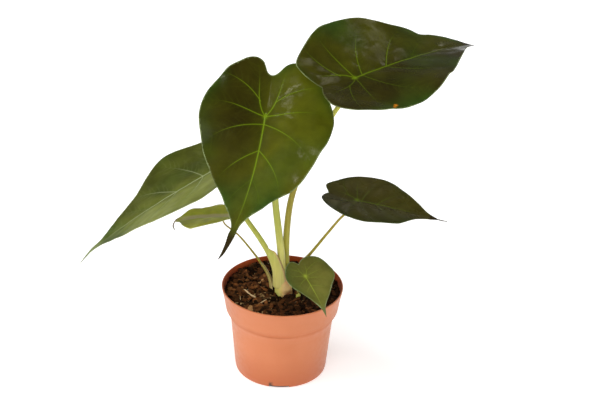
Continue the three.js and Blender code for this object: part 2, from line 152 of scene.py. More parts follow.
lamps = [soft_box(*lamp, in_gloss=False) for lamp in WIDE_LAMPS]
lamps += [soft_box(*lamp, in_gloss=True) for lamp in GLOSS_LAMPS]
print("lamps:", [(lamp.name, round(lamp.data.energy, 3)) for lamp in lamps])

# %% [markdown]
# ## Helpers for making meshes
# Every piece ends as lists of points and faces. One helper turns them into a Blender object,
# sets its finish and ties it to the body and to the solid that it stands for, so that no
# piece can miss one of these steps.


# %% Mesh helper
def make_piece(name, points, faces, finishes, stands_for, smooth=True, finish_of=None):
    """Builds one object from points in millimetres; finish_of numbers each face's finish."""
    mesh = bpy.data.meshes.new(name)
    mesh.from_pydata((np.asarray(points, float) * MM).tolist(), [], faces)
    for finish in finishes:
        mesh.materials.append(finish)
    if finish_of is not None:
        mesh.polygons.foreach_set("material_index", np.asarray(finish_of, np.int32))
    mesh.polygons.foreach_set("use_smooth", [smooth] * len(mesh.polygons))
    mesh.validate()
    mesh.update()
    piece = bpy.data.objects.new(name, mesh)
    scene.collection.objects.link(piece)
    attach(piece, "root")
    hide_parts(*stands_for)
    return piece


def paint(piece, name, values):
    """Stores one number for each point, which a finish can read by name."""
    layer = piece.data.attributes.new(name, "FLOAT", "POINT")
    layer.data.foreach_set("value", np.asarray(values, np.float32))


# %% Threads and small sums
ASKEW = (0.13, 0.2, 0.97)  # a direction that no thread follows, to turn its rings by


def thread(path, radius, sides=6):
    """A thin stem along a path, thickest in the middle and closed at both ends."""
    tangents = np.gradient(path, axis=0)
    points = []
    for i, (place, axis) in enumerate(zip(path, tangents)):
        axis = axis / np.linalg.norm(axis)
        side = np.cross(axis, ASKEW)
        side /= np.linalg.norm(side)
        across = np.cross(axis, side)
        angle = 2 * math.pi * np.arange(sides) / sides
        r = radius * (0.55 + 0.45 * math.sin(math.pi * (i + 0.7) / (len(path) + 0.4)))
        points.append(place + r * (np.cos(angle)[:, None] * side + np.sin(angle)[:, None] * across))
    faces = [(i * sides + k, i * sides + (k + 1) % sides,
              (i + 1) * sides + (k + 1) % sides, (i + 1) * sides + k)
             for i in range(len(path) - 1) for k in range(sides)]
    faces += [tuple(range(sides))[::-1], tuple(range((len(path) - 1) * sides, len(path) * sides))]
    return np.concatenate(points), faces


def smoothstep(x, low, high):
    """0 below low, 1 above high and a soft step between them."""
    x = np.clip((np.asarray(x, float) - low) / (high - low), 0, 1)
    return x * x * (3 - 2 * x)


def mix(a, b, share):
    return a + (b - a) * share


# %% [markdown]
# ## Finishes
# Living tissue, plastic and soil share two things: their colour drifts slowly from place to
# place, and their skin is never quite flat. Both effects are node groups with named inputs,
# built once here, and each finish sets its own values on them.


# %% Node helpers
def add_node(tree, kind, **settings):
    node = tree.nodes.new(kind)
    for key, value in settings.items():
        setattr(node, key, value)
    return node


def wire(tree, source, target):
    """Joins an output to an input, or writes a plain value into the input."""
    if isinstance(source, bpy.types.NodeSocket):
        tree.links.new(source, target)
    else:
        target.default_value = source


def new_group(name, inputs, outputs):
    group = bpy.data.node_groups.new(name, "ShaderNodeTree")
    for label, kind, value in inputs:
        socket = group.interface.new_socket(name=label, in_out="INPUT", socket_type=kind)
        socket.default_value = value
    for label, kind in outputs:
        group.interface.new_socket(name=label, in_out="OUTPUT", socket_type=kind)
    return group, add_node(group, "NodeGroupInput"), add_node(group, "NodeGroupOutput")


def blend_colours(tree, share, low, high, mode="MIX"):
    """Mixes two colours; the node has sockets for numbers too, so it is wired by place."""
    node = add_node(tree, "ShaderNodeMix", data_type="RGBA", blend_type=mode)
    wire(tree, share, node.inputs[0])
    wire(tree, low, node.inputs[6])
    wire(tree, high, node.inputs[7])
    return node.outputs[2]


def spread(tree, value, low, high, new_low=0.0, new_high=1.0):
    """Maps a value from one range to another with a soft start and end."""
    node = add_node(tree, "ShaderNodeMapRange", interpolation_type="SMOOTHSTEP")
    for index, given in enumerate((value, low, high, new_low, new_high)):
        wire(tree, given, node.inputs[index])
    return node.outputs[0]


def calculate(tree, operation, a, b=0.0):
    node = add_node(tree, "ShaderNodeMath", operation=operation)
    wire(tree, a, node.inputs[0])
    wire(tree, b, node.inputs[1])
    return node.outputs[0]


def painted(tree, name):
    """Reads the numbers that paint() stored under this name."""
    return add_node(tree, "ShaderNodeAttribute", attribute_name=name).outputs["Fac"]


# %% The two shared effects
COLOUR, NUMBER, VECTOR = "NodeSocketColor", "NodeSocketFloat", "NodeSocketVector"


def make_drift():
    """Colour drift: one colour fades into another over soft patches."""
    group, given, result = new_group(
        "colour_drift",
        [("Size", NUMBER, 60.0), ("Stretch", VECTOR, (1, 1, 1)), ("Detail", NUMBER, 3.0),
         ("Low", NUMBER, 0.35), ("High", NUMBER, 0.65), ("First", COLOUR, (0, 0, 0, 1)),
         ("Second", COLOUR, (1, 1, 1, 1))],
        [("Color", COLOUR), ("Mask", NUMBER)])
    place = add_node(group, "ShaderNodeTexCoord").outputs["Object"]
    stretched = add_node(group, "ShaderNodeVectorMath", operation="MULTIPLY")
    wire(group, place, stretched.inputs[0])
    wire(group, given.outputs["Stretch"], stretched.inputs[1])
    patches = add_node(group, "ShaderNodeTexNoise")
    wire(group, stretched.outputs[0], patches.inputs["Vector"])
    wire(group, given.outputs["Size"], patches.inputs["Scale"])
    wire(group, given.outputs["Detail"], patches.inputs["Detail"])
    mask = spread(group, patches.outputs[0], given.outputs["Low"], given.outputs["High"])
    colour = blend_colours(group, mask, given.outputs["First"], given.outputs["Second"])
    wire(group, colour, result.inputs["Color"])
    wire(group, mask, result.inputs["Mask"])
    return group


def make_pores():
    """Skin height: rounded cells with fine grain over them."""
    group, given, result = new_group(
        "skin_pores", [("Cells", NUMBER, 1200.0), ("Grain", NUMBER, 4000.0),
                       ("Grain Share", NUMBER, 0.4)], [("Height", NUMBER)])
    place = add_node(group, "ShaderNodeTexCoord").outputs["Object"]
    cells = add_node(group, "ShaderNodeTexVoronoi", feature="SMOOTH_F1")
    grain = add_node(group, "ShaderNodeTexNoise")
    for node, size in ((cells, "Cells"), (grain, "Grain")):
        wire(group, place, node.inputs["Vector"])
        wire(group, given.outputs[size], node.inputs["Scale"])
    both = add_node(group, "ShaderNodeMix", data_type="FLOAT")
    wire(group, given.outputs["Grain Share"], both.inputs[0])
    wire(group, cells.outputs["Distance"], both.inputs[2])
    wire(group, grain.outputs[0], both.inputs[3])
    wire(group, both.outputs[0], result.inputs["Height"])
    return group


DRIFT, PORES = make_drift(), make_pores()
print("shared effects:", DRIFT.name, PORES.name)


# %% Starting a finish
def start_finish(name, roughness, **constants):
    """A new material; constants go straight onto the surface shader's own sockets."""
    material = bpy.data.materials.new(name)
    material.use_nodes = True
    tree = material.node_tree
    surface = tree.nodes["Principled BSDF"]
    surface.inputs["Roughness"].default_value = roughness
    for key, value in constants.items():
        surface.inputs[key.replace("_", " ").title().replace("Ior", "IOR")].default_value = value
    return material, tree, surface


def place_group(tree, group, **values):
    """Sets a shared effect into a finish; an underscore stands for a space in a name."""
    node = add_node(tree, "ShaderNodeGroup", node_tree=group)
    for key, value in values.items():
        wire(tree, value, node.inputs[key.replace("_", " ")])
    return node


def add_relief(tree, surface, height, strength, depth_mm):
    bump = add_node(tree, "ShaderNodeBump")
    bump.inputs["Strength"].default_value = strength
    bump.inputs["Distance"].default_value = depth_mm * MM
    wire(tree, height, bump.inputs["Height"])
    wire(tree, bump.outputs[0], surface.inputs["Normal"])


# %% [markdown]
# ## The shape of a leaf
# Every blade follows one rule. Its flat outline is four curves a side: round the lobe, out to
# the widest place, in to the shoulder and along the drawn-out tip. The flat sheet is then
# bent: the midrib droops, sweeps and twists from the hub on, the sides rise from the midrib
# and sink again, and a slow wave runs along the margin. The numbers are those of the
# skeleton, so a fine blade lies where the plain one does.

# %% Leaf measures
# Pairs give the left side first, seen from above with the tip ahead. Angles are in degrees.
# The hub is where the stalk meets the blade, and the flat blade is measured from it: length to
# the tip, lobe and sinus back to the lobes' ends and to the notch between them, widest to the
# widest place, and tail along the drawn-out tip. Heading, pitch and roll aim the leaf; droop,
# nape, sweep and twist bend its midrib; fold and curl bend its sides. A stalk's route runs from
# its foot to just under the hub, and its radius is given at foot, middle and top.
LEAVES = {
    "front": dict(
        hub=(-19, -30, 283.2), length=137, tail=28.5, half=(62.5, 58), widest=0.5, lobe=55.5,
        lobe_at=0.32, sinus=41.5, round=(0.33, 0.4, 0.59), neck=0.05, neck_slope=0.63,
        notch=1.0, body=(0.85, 0.65), heading=-100, pitch=48, roll=-1, droop=11.5, nape=11,
        sweep=-24, twist=36, tip_curl=4, fold=(9, 20.5), curl=(23, 17), wave=4, phase=-26,
        route=[(-1, -3, 97.3), (-1.7, -3, 124), (-4.9, -1, 150), (-8.8, 0.5, 181),
               (-11, 0, 220), (-13.5, -6, 252)],
        radius=(4, 3.1, 2.2), approach=16),
    "top": dict(
        hub=(60.5, -12, 316.5), length=149.5, tail=15.5, half=(70.5, 66), widest=25.5, lobe=46,
        lobe_at=0.42, sinus=36.5, round=(0.29, 0.29, 0.3), neck=0.09, neck_slope=0.81,
        body=(0.4, 0.3), heading=34.5, pitch=-8.5, roll=11, droop=19.5, nape=-13, sweep=5,
        twist=-15.5, tip_curl=5.5, fold=(14, 2.5), curl=(-6.5, 0), wave=2.2, phase=113,
        route=[(3.7, 3.6, 97.3), (2.5, 4.6, 120), (2.7, 5, 150), (5, 5, 177.5), (8.3, 5, 194),
               (16.3, 4.5, 220.5), (30.5, 2, 250), (46, -4, 283)],
        radius=(3.5, 2.8, 1.9), approach=13,
        sheath=dict(end=0.1, width=(6.8, 5), wall=1.5, open=225, wrap=(75, 62))),
    "left": dict(
        hub=(-71, 7, 209.5), length=161, tail=34, half=(74, 72), widest=18.5, lobe=55,
        lobe_at=0.32, sinus=39, round=(0.53, 0.48, 0.42), neck=0.07, neck_slope=0.6,
        body=(0.45, 0.30), heading=198, pitch=27, roll=10, droop=19, nape=8.5, sweep=-21,
        twist=-5.5, tip_curl=9.5, fold=(8.5, 4.5), curl=(2.5, -9.5), wave=-2.2, phase=17,
        route=[(-6.4, -4.5, 97.3), (-7.4, -5, 110.5), (-12.5, -5.5, 126.5),
               (-21.8, -5, 143.5), (-35, -2, 162), (-50.5, 3, 184)],
        radius=(3, 2.5, 1.9), approach=12,
        sheath=dict(end=0.34, width=(8, 5.6), wall=1.7, open=28, wrap=(112, 104))),
    "left_small": dict(
        hub=(-60.3, 15, 157.9), length=63, tail=15, half=(30, 26.5), widest=17, lobe=22,
        lobe_at=0.32, sinus=16, round=(0.5, 0.44, 0.44), neck=0.09, neck_slope=0.64,
        body=(0.5, 0.35), heading=166.5, pitch=11.5, roll=6, droop=11.5, nape=6, sweep=-4,
        twist=-17, tip_curl=111, fold=(17.5, 15.5), curl=(27, 27.5), wave=1.5, phase=-81,
        route=[(-11.4, 3.2, 77), (-11.6, 3.4, 88), (-13.8, 4, 98), (-20.5, 5, 110.5),
               (-32, 7, 126), (-44.5, 10, 140)],
        radius=(1.7, 1, 0.7), approach=7,
        sheath=dict(end=0.42, width=(4.4, 2.4), wall=1.2, open=0, wrap=(85, 75))),
    "right": dict(
        hub=(69, 0, 188), length=80.5, tail=10.5, half=(35.5, 37), widest=9, lobe=32.5,
        lobe_at=0.31, sinus=28, round=(0.41, 0.42, 0.46), neck=0.09, neck_slope=0.66,
        body=(0.35, 0.3), heading=-12, pitch=4.5, roll=6, droop=11, nape=-5, sweep=6, twist=10,
        tip_curl=-1, fold=(14, 12.5), curl=(11.5, 14.5), wave=-0.5, phase=-5,
        route=[(12.4, 3.6, 77), (12.4, 3.8, 92), (13.4, 4.3, 104), (18, 5, 114.5),
               (26, 6, 124), (42, 4, 148.5), (56.5, 2, 169.5)],
        radius=(1.8, 1.4, 1), approach=8,
        sheath=dict(end=0.34, width=(3, 2.4), wall=1, open=180, wrap=(75, 70))),
    "low": dict(
        hub=(22.2, -26, 117.2), length=47, tail=9.5, half=(30, 20.5), widest=1.5, lobe=19,
        lobe_at=0.33, sinus=14.5, round=(0.54, 0.49, 0.33), neck=0.09, neck_slope=0.56,
        body=(0.4, 0.3), heading=-56.5, pitch=26, roll=-0.5, droop=8.5, nape=-5, sweep=-4,
        twist=-2.5, tip_curl=11, fold=(9, 8), curl=(11, 17.5), wave=0.4, phase=14,
        route=[(14.6, -5, 76), (15.4, -6.4, 86), (17.4, -12, 98)],
        radius=(1.5, 1.3, 1.1), approach=8),
}

# %% Margins
# A real margin isn't a pure curve. Each list gives places along one side, as shares of the way
# from the notch to the tip, and how far the margin stands out there, in mm.
EDGES = {
    "front": ([(0.03, -0.3), (0.055, 0.4), (0.1, -0.8), (0.2, 0.4), (0.3, -0.2), (0.43, 0.3),
               (0.465, 0.6), (0.5, -1.8), (0.575, -1.4), (0.625, 0.6), (0.655, 1.8), (0.69, 0.1),
               (0.73, -1.1), (0.765, 0.0), (0.81, -1.2), (0.86, -0.8), (0.89, 1.8), (0.93, 2.0),
               (0.97, 1.6), (1, 0)],
              [(0, -0.5), (0.02, -1.3), (0.063, 1.2), (0.1, 0.0), (0.16, -0.5), (0.21, 1.3),
               (0.25, 0.1), (0.32, 0.9), (0.37, 0.0), (0.42, 0.5), (0.49, -0.5), (0.56, 0.9),
               (0.64, -0.4), (0.7, 0.6), (0.75, 0.3), (0.79, 1.4), (0.87, -0.7), (0.9, 0.4),
               (0.94, -0.6), (0.97, -0.6), (1, 0)]),
    "top": ([(0, 0), (0.2, 0.0), (0.29, 0.8), (0.36, 0.1), (0.41, -1.4), (0.46, -0.3), (0.5, 2.0),
             (0.545, 2.9), (0.6, 1.4), (0.65, 1.1), (0.685, 2.8), (0.72, 4.6), (0.75, 3.2),
             (0.77, -1.0), (0.785, 0.2), (0.82, 4.4), (0.86, 6.8), (0.9, 6.2), (0.93, 5.4),
             (0.955, 2.6), (0.98, 0.4), (1, 0)],
            [(0, 0), (0.12, 0.6), (0.16, 1.9), (0.21, 2.9), (0.25, 2.2), (0.29, 2.8), (0.34, 0.1),
             (0.36, 1.8), (0.41, 0.2), (0.5, 0.9), (0.53, 1.4), (0.58, 0.1), (0.636, -0.9),
             (0.646, 0.7), (0.7, 0.5), (0.85, -0.1), (0.93, -1.3), (0.96, -0.1), (1, 0)]),
    "left": ([(0, 0), (0.36, 0.3), (0.4, -1.3), (0.47, -1.6), (0.487, 0.1), (0.53, 1.8),
              (0.564, 2.3), (0.607, -1.2), (0.658, -3.6), (0.709, -2.4), (0.769, 1.3),
              (0.838, 2.1), (0.889, 0.3), (0.94, -2.2), (0.957, -0.3), (1, 0)],
             [(0, 0), (0.336, 0.0), (0.388, 2.1), (0.466, 1.6), (0.543, 2.6), (0.603, 2.2),
              (0.672, -1.4), (0.716, -1.3), (0.759, 0.2), (0.836, 1.6), (0.888, 0.4),
              (0.931, 1.6), (0.966, 0.2), (1, 0)]),
    "left_small": ([(0, 0), (0.25, -2.0), (0.4, -0.9), (0.48, 3.2), (0.6, 0.0), (0.7, 1.0),
                    (0.8, 0.6), (0.86, 1.7), (0.96, 1.2), (1, 0)],
                   [(0, 0), (0.5, -0.2), (0.56, -3.8), (0.64, -4.4), (0.71, 2.0), (0.75, 2.7),
                    (0.85, 1.0), (1, 0)]),
    "right": ([(0, 0), (0.03, -0.9), (0.08, 0.9), (0.12, -0.8), (0.17, -1.6), (0.27, 0.0),
               (0.44, 1.4), (0.58, 0.0), (0.66, -0.1), (0.74, 1.1), (0.83, 1.4), (0.92, 0.3),
               (1, 0)],
              [(0, 1.5), (0.05, 0.4), (0.12, -0.1), (0.2, 0.5), (0.34, 1.1), (0.38, -0.1),
               (0.48, 0.5), (0.58, -0.9), (0.63, 0.3), (0.69, 2.3), (0.76, 0.8), (0.83, -0.4),
               (0.94, 1.1), (1, 0)]),
    "low": ([(0, 0), (0.25, 1.0), (0.4, -0.7), (0.5, 0.7), (0.62, -0.4), (0.75, 0.5), (1, 0)],
            [(0, 0), (0.2, -0.4), (0.4, 0.5), (0.6, -0.4), (0.8, 0.4), (1, 0)]),
}
CREASE = 1.5  # how softly a blade folds at its midrib, in mm
WAVES, SIDE_SHIFT = 2, 1.3  # waves along the margin, and the right side's shift, in radians
for name, leaf in LEAVES.items():
    leaf["edges"] = EDGES[name]
print("leaves:", {name: leaf["length"] for name, leaf in LEAVES.items()})


# %% The flat outline
def bezier(a, b, c, d, count):
    u = np.linspace(0, 1, count, endpoint=False)[:, None]
    a, b, c, d = (np.array(p, float) for p in (a, b, c, d))
    return (1 - u) ** 3 * a + 3 * (1 - u) ** 2 * u * b + 3 * (1 - u) * u * u * c + u ** 3 * d


def push_out(line, steps, side):
    """Moves a half outline outwards by the steps of its margin."""
    along = np.concatenate([[0], np.cumsum(np.linalg.norm(np.diff(line, axis=0), axis=1))])
    places, amounts = np.transpose(steps)
    amount = np.interp(along / along[-1], places, amounts)
    soft = np.convolve(np.pad(amount, 2, mode="edge"), np.full(5, 1 / 5), mode="valid")
    tangent = np.gradient(line, axis=0)
    tangent /= np.linalg.norm(tangent, axis=1)[:, None]
    out = np.stack([-tangent[:, 1], tangent[:, 0]], axis=1) * side
    moved = line + out * soft[:, None]
    moved[0, 1] = moved[-1, 1] = 0
    moved[-1, 0] = line[-1, 0]
    return moved


def half_outline(leaf, side):
    w = leaf["half"][0 if side > 0 else 1]
    length, tail, widest = leaf["length"], leaf["tail"], leaf["widest"]
    lobe, lobe_at, sinus = leaf["lobe"], leaf["lobe_at"], leaf["sinus"]
    round_lobe, round_side, round_front = leaf["round"]
    notch = leaf.get("notch", 0.3)  # 0 for a sharp notch between the lobes, 1 for a round one
    shoulder, neck = length - tail, leaf["neck"] * w
    slope = leaf["neck_slope"] * w / (shoulder - widest)
    before, after = 0.28 * (shoulder - widest), 0.3 * tail
    lobe_end, broad, narrow = (-lobe, lobe_at * w), (widest, w), (shoulder, neck)
    curves = [
        bezier((-sinus, 0), (-sinus - (0.45 - 0.4 * notch) * (lobe - sinus),
                             (0.12 + 0.2 * notch) * lobe_at * w),
               (-lobe, 0.5 * lobe_at * w), lobe_end, 40),
        bezier(lobe_end, (-lobe, w * mix(lobe_at, 1, round_lobe)),
               (widest - round_side * (widest + lobe), w), broad, 60),
        bezier(broad, (mix(widest, shoulder, round_front), w),
               (shoulder - before, neck + before * slope), narrow, 90),
        bezier(narrow, (shoulder + after, max(neck - after * slope, leaf["body"][0] * neck)),
               (length - 0.3 * tail, leaf["body"][1] * neck), (length, 0), 50),
    ]
    points = np.concatenate(curves + [np.array([[length, 0.0]])])
    points[:, 1] *= side
    return push_out(points, leaf["edges"][0 if side > 0 else 1], side)


def evenly(points, step):
    """The same line with its points a step apart; both ends stay."""
    along = np.concatenate([[0], np.cumsum(np.linalg.norm(np.diff(points, axis=0), axis=1))])
    count = max(int(round(along[-1] / step)), 2)
    at = np.linspace(0, along[-1], count + 1)
    return np.stack([np.interp(at, along, column) for column in np.transpose(points)], axis=1)


def outline(leaf, step):
    """The closed outline: left side out to the tip, then the right side back to the notch."""
    left, right = (evenly(half_outline(leaf, side), step) for side in (1, -1))
    return np.concatenate([left, right[1:-1][::-1]])


# %% Bending the flat sheet
def midrib_frame(leaf, s):
    """Direction, left and up of the midrib at each s, in the leaf's own axes."""
    share = np.abs(s) / np.where(s >= 0, leaf["length"], leaf["lobe"])
    in_tail = np.clip((s - leaf["length"] + leaf["tail"]) / leaf["tail"], 0, 1)
    bend = np.where(s >= 0, leaf["droop"] * share ** 1.5 + leaf["tip_curl"] * in_tail,
                    -leaf["nape"] * share)
    down = np.radians(bend)
    aside = np.radians(np.where(s >= 0, leaf["sweep"] * share ** 1.5, 0))
    twist = np.radians(np.where(s > 0, leaf["twist"] * share, 0))[..., None]
    ahead = np.stack([np.cos(down) * np.cos(aside), np.sin(aside),
                      -np.sin(down) * np.cos(aside)], -1)
    flat = np.stack([-np.cos(down) * np.sin(aside), np.cos(aside),
                     np.sin(down) * np.sin(aside)], -1)
    up = np.cross(ahead, flat)
    left = flat * np.cos(twist) + up * np.sin(twist)
    return ahead, left, np.cross(ahead, left)


def bend_sheet(leaf, flat):
    """Where the flat points lie on the bent blade, in the leaf's own axes."""
    s, t = flat[:, 0], flat[:, 1]
    pieces = 24
    ahead = midrib_frame(leaf, s[:, None] * (np.arange(pieces) + 0.5) / pieces)[0]
    spine = (ahead * (s / pieces)[:, None, None]).sum(1)
    w = np.where(t >= 0, *leaf["half"])
    fold = np.radians(np.where(t >= 0, *leaf["fold"]))
    curl = np.where(t >= 0, *[c or 0.001 for c in leaf["curl"]])
    bend = -np.radians(curl) / w
    r = np.abs(t)
    out = (np.sin(fold + bend * r) - np.sin(fold)) / bend
    r = np.hypot(r, CREASE) - CREASE
    swing = 2 * np.pi * WAVES * s / leaf["length"] + math.radians(leaf["phase"])
    swing = swing + np.where(t > 0, 0, SIDE_SHIFT)
    lift = (np.cos(fold) - np.cos(fold + bend * r)) / bend
    lift = lift + leaf["wave"] * (r / w) ** 2 * np.sin(swing)
    _, left, up = midrib_frame(leaf, s)
    return spine + left * (np.sign(t) * out)[:, None] + up * lift[:, None]


def sheet_normals(leaf, flat, step=0.4):
    """The blade's upward direction at each flat point, from two small steps."""
    side = np.where(flat[:, 1] >= 0, 1.0, -1.0)[:, None]
    here = bend_sheet(leaf, flat)
    ahead = bend_sheet(leaf, flat + [step, 0]) - here
    out = (bend_sheet(leaf, flat + [0, step] * side) - here) * side
    normals = np.cross(ahead, out)
    middle = np.abs(flat[:, 1]) < 1e-6
    normals[middle] = midrib_frame(leaf, flat[middle, 0])[2]
    return normals / np.linalg.norm(normals, axis=1)[:, None]


def leaf_turn(leaf):
    """The rotation that aims the leaf: roll, then pitch, then heading."""
    h, p, r = (math.radians(leaf[key]) for key in ("heading", "pitch", "roll"))
    about_z = np.array([[math.cos(h), -math.sin(h), 0], [math.sin(h), math.cos(h), 0], [0, 0, 1]])
    about_y = np.array([[math.cos(p), 0, math.sin(p)], [0, 1, 0], [-math.sin(p), 0, math.cos(p)]])
    about_x = np.array([[1, 0, 0], [0, math.cos(r), -math.sin(r)], [0, math.sin(r), math.cos(r)]])
    return about_z @ about_y @ about_x


front_edge = bend_sheet(LEAVES["front"], outline(LEAVES["front"], 2.0))
print("front blade, bent: spans", np.ptp(front_edge, axis=0).round(), "mm")

# %% [markdown]
# ## Veins
# An alocasia's blade hangs from its hub like a sail. The midrib runs to the tip, one rib runs
# into each lobe and forks, and pairs of side veins curve out to the margin. Finer veins leave
# them at a slant and stop half-way to the next one. The pattern is written once, as shares of
# the blade's length and half width, and fitted to every leaf with small seeded differences.

# %% Main veins
# Each entry: points as (share along, share across), then width in mm and rib height in mm,
# both at its start on a blade of 60 mm half width, and how strongly its colour shows.
SIDE_VEINS = [
    ([(0, 0), (-0.28, 0.13), (-0.62, 0.18), (-0.90, 0.25)], 1.5, 0.8, 1.0),
    ([(-0.25, 0.115), (-0.43, 0.31), (-0.56, 0.55), (-0.62, 0.86)], 1.1, 0.6, 0.9),
    ([(0, 0), (-0.07, 0.31), (-0.13, 0.62), (-0.10, 0.90)], 1.3, 0.8, 1.0),
    ([(0.055, 0), (0.09, 0.25), (0.15, 0.51), (0.27, 0.82)], 1.2, 0.7, 0.9),
    ([(0.235, 0), (0.29, 0.17), (0.37, 0.36), (0.52, 0.55)], 1.2, 0.7, 0.9),
    ([(0.43, 0), (0.49, 0.12), (0.58, 0.25), (0.72, 0.33)], 0.9, 0.5, 0.15),
    ([(0.60, 0), (0.65, 0.07), (0.72, 0.13), (0.82, 0.16)], 0.7, 0.4, 0.08),
]
MIDRIB_WIDTH, MIDRIB_HEIGHT = 2.2, 1.5

# How strongly the side veins show on the left and the right half of each blade.
VEIN_SHOW = {"front": (1.0, 1.0), "top": (0.75, 0.35), "left": (0.8, 0.7),
             "left_small": (0.1, 0.1), "right": (0.6, 0.45), "low": (0.5, 0.5)}
MIDRIB_SHOW = {**dict.fromkeys(LEAVES, 1.0), "top": 0.7, "right": 0.7}


def curve_through(points, step):
    """A smooth cubic through four points, with even steps."""
    points = np.array(points, float)
    gaps = np.linalg.norm(np.diff(points, axis=0), axis=1)
    at = np.concatenate([[0], np.cumsum(gaps)]) / gaps.sum()
    u = np.linspace(0, 1, 40)
    line = np.stack([np.polyval(np.polyfit(at, column, 3), u) for column in points.T], axis=1)
    return evenly(line, step)


def main_veins(name, leaf, step, seed):
    """Each main vein as a dict of its flat line, half width, rib height and show."""
    random = np.random.default_rng(seed)
    size = (np.mean(leaf["half"]) / 60) ** 0.7
    length, lobe = leaf["length"], leaf["lobe"]
    veins = [dict(line=evenly(np.array([[-0.02 * length, 0], [0.985 * length, 0]]), step),
                  half=MIDRIB_WIDTH / 2 * size, rib=MIDRIB_HEIGHT, rank=0,
                  show=MIDRIB_SHOW[name])]
    for side in (1, -1):
        w = leaf["half"][0 if side > 0 else 1]
        for points, width, rib, show in SIDE_VEINS:
            shift = random.uniform(-1, 1, 2)
            line = []
            for index, (along, across) in enumerate(points):
                along += 0.012 * index * shift[0]
                across *= 1 + 0.05 * shift[1]
                line.append((along * (length if along > 0 else lobe), across * w * side))
            veins.append(dict(line=curve_through(line, step), half=width / 2 * size,
                              rib=rib * size, rank=1,
                              show=show * VEIN_SHOW[name][0 if side > 0 else 1]))
    return veins


# %% Fine veins
def inside(points, ring):
    """Which points lie in the closed ring, by counting crossings."""
    x, y = points[:, 0][:, None], points[:, 1][:, None]
    a, b = ring, np.roll(ring, -1, axis=0)
    crosses = (a[:, 1] > y) != (b[:, 1] > y)
    with np.errstate(divide="ignore", invalid="ignore"):
        at = a[:, 0] + (y - a[:, 1]) * (b[:, 0] - a[:, 0]) / (b[:, 1] - a[:, 1])
    return (crosses & (x < at)).sum(1) % 2 == 1


def line_distance(points, line):
    """Distance of each point to a line of short steps, and how far along it that is."""
    a, d = line[:-1], np.diff(line, axis=0)
    gaps, along = [], []
    for block in np.array_split(points, max(len(points) // 2000, 1)):
        rel = block[:, None, :] - a[None]
        share = np.clip((rel * d).sum(-1) / (d * d).sum(-1), 0, 1)
        gap = np.linalg.norm(rel - share[..., None] * d, axis=-1)
        best = gap.argmin(1)
        rows = np.arange(len(block))
        gaps.append(gap[rows, best])
        along.append((best + share[rows, best]) / len(a))
    return np.concatenate(gaps), np.concatenate(along)


def fine_veins(veins, ring, step, spacing, reach):
    """Slanting veinlets that leave each main vein and stop half-way to the next."""
    lines = []
    for vein in veins:
        others = [v["line"] for v in veins if v is not vein]
        line = vein["line"]
        along = np.concatenate([[0], np.cumsum(np.linalg.norm(np.diff(line, axis=0), axis=1))])
        for number, start in enumerate(np.arange(spacing, along[-1] - 2, spacing)):
            place = np.array([np.interp(start, along, line[:, i]) for i in (0, 1)])
            later = np.array([np.interp(start + 1, along, line[:, i]) for i in (0, 1)])
            for side in (1, -1):
                tangent = (later - place) / np.linalg.norm(later - place)
                across = np.array([-tangent[1], tangent[0]]) * side
                lean = 0.75 + 0.25 * math.sin(number * 2.4 + side)
                trail = [place]
                for k in range(int(reach / step)):
                    way = across + tangent * (lean + 0.05 * k)
                    trail.append(trail[-1] + way / np.linalg.norm(way) * step)
                trail = np.array(trail)
                own = line_distance(trail, line)[0]
                near = np.min([line_distance(trail, other)[0] for other in others], axis=0)
                edge = line_distance(trail, np.concatenate([ring, ring[:1]]))[0]
                good = (near > own * 0.9) & (edge > 1.5) & inside(trail, ring)
                good[:2] = good[2] if len(good) > 2 else False
                stop = len(good) if good.all() else int(np.argmin(good))
                if stop >= 4:
                    lines.append(trail[:stop])
    return lines


# %% [markdown]
# ## The blade as a cut sheet
# A leaf's mesh should have its edges where the leaf has its lines. So the flat sheet is
# triangulated with the outline and every vein as fixed lines (a constrained Delaunay
# triangulation), and only then bent. Veins stay crisp at any distance, and the open parts
# need few triangles. The same triangles serve the upper and the lower face, a leaf's
# thickness apart, and a rounded rim joins them.

# %% Cutting the flat sheet
STEP, SHEET_STEP = (1.1, 1.35) if FINE else (2.2, 3.0)  # between points on a line, and on the open sheet
ROW_STEP = 0.87 * SHEET_STEP  # between the rows of points, for near-equal triangles
CLEARANCE = 0.75 * SHEET_STEP  # the open sheet's points keep about this far from a line
INSIDE_ONLY, WELD = 1, 0.03  # the cutter's mode, and the gap below which it joins points


def offset(line, distance):
    """The line shifted to its left by a distance."""
    tangent = np.gradient(line, axis=0)
    tangent /= np.linalg.norm(tangent, axis=1)[:, None]
    return line + np.stack([-tangent[:, 1], tangent[:, 0]], axis=1) * distance


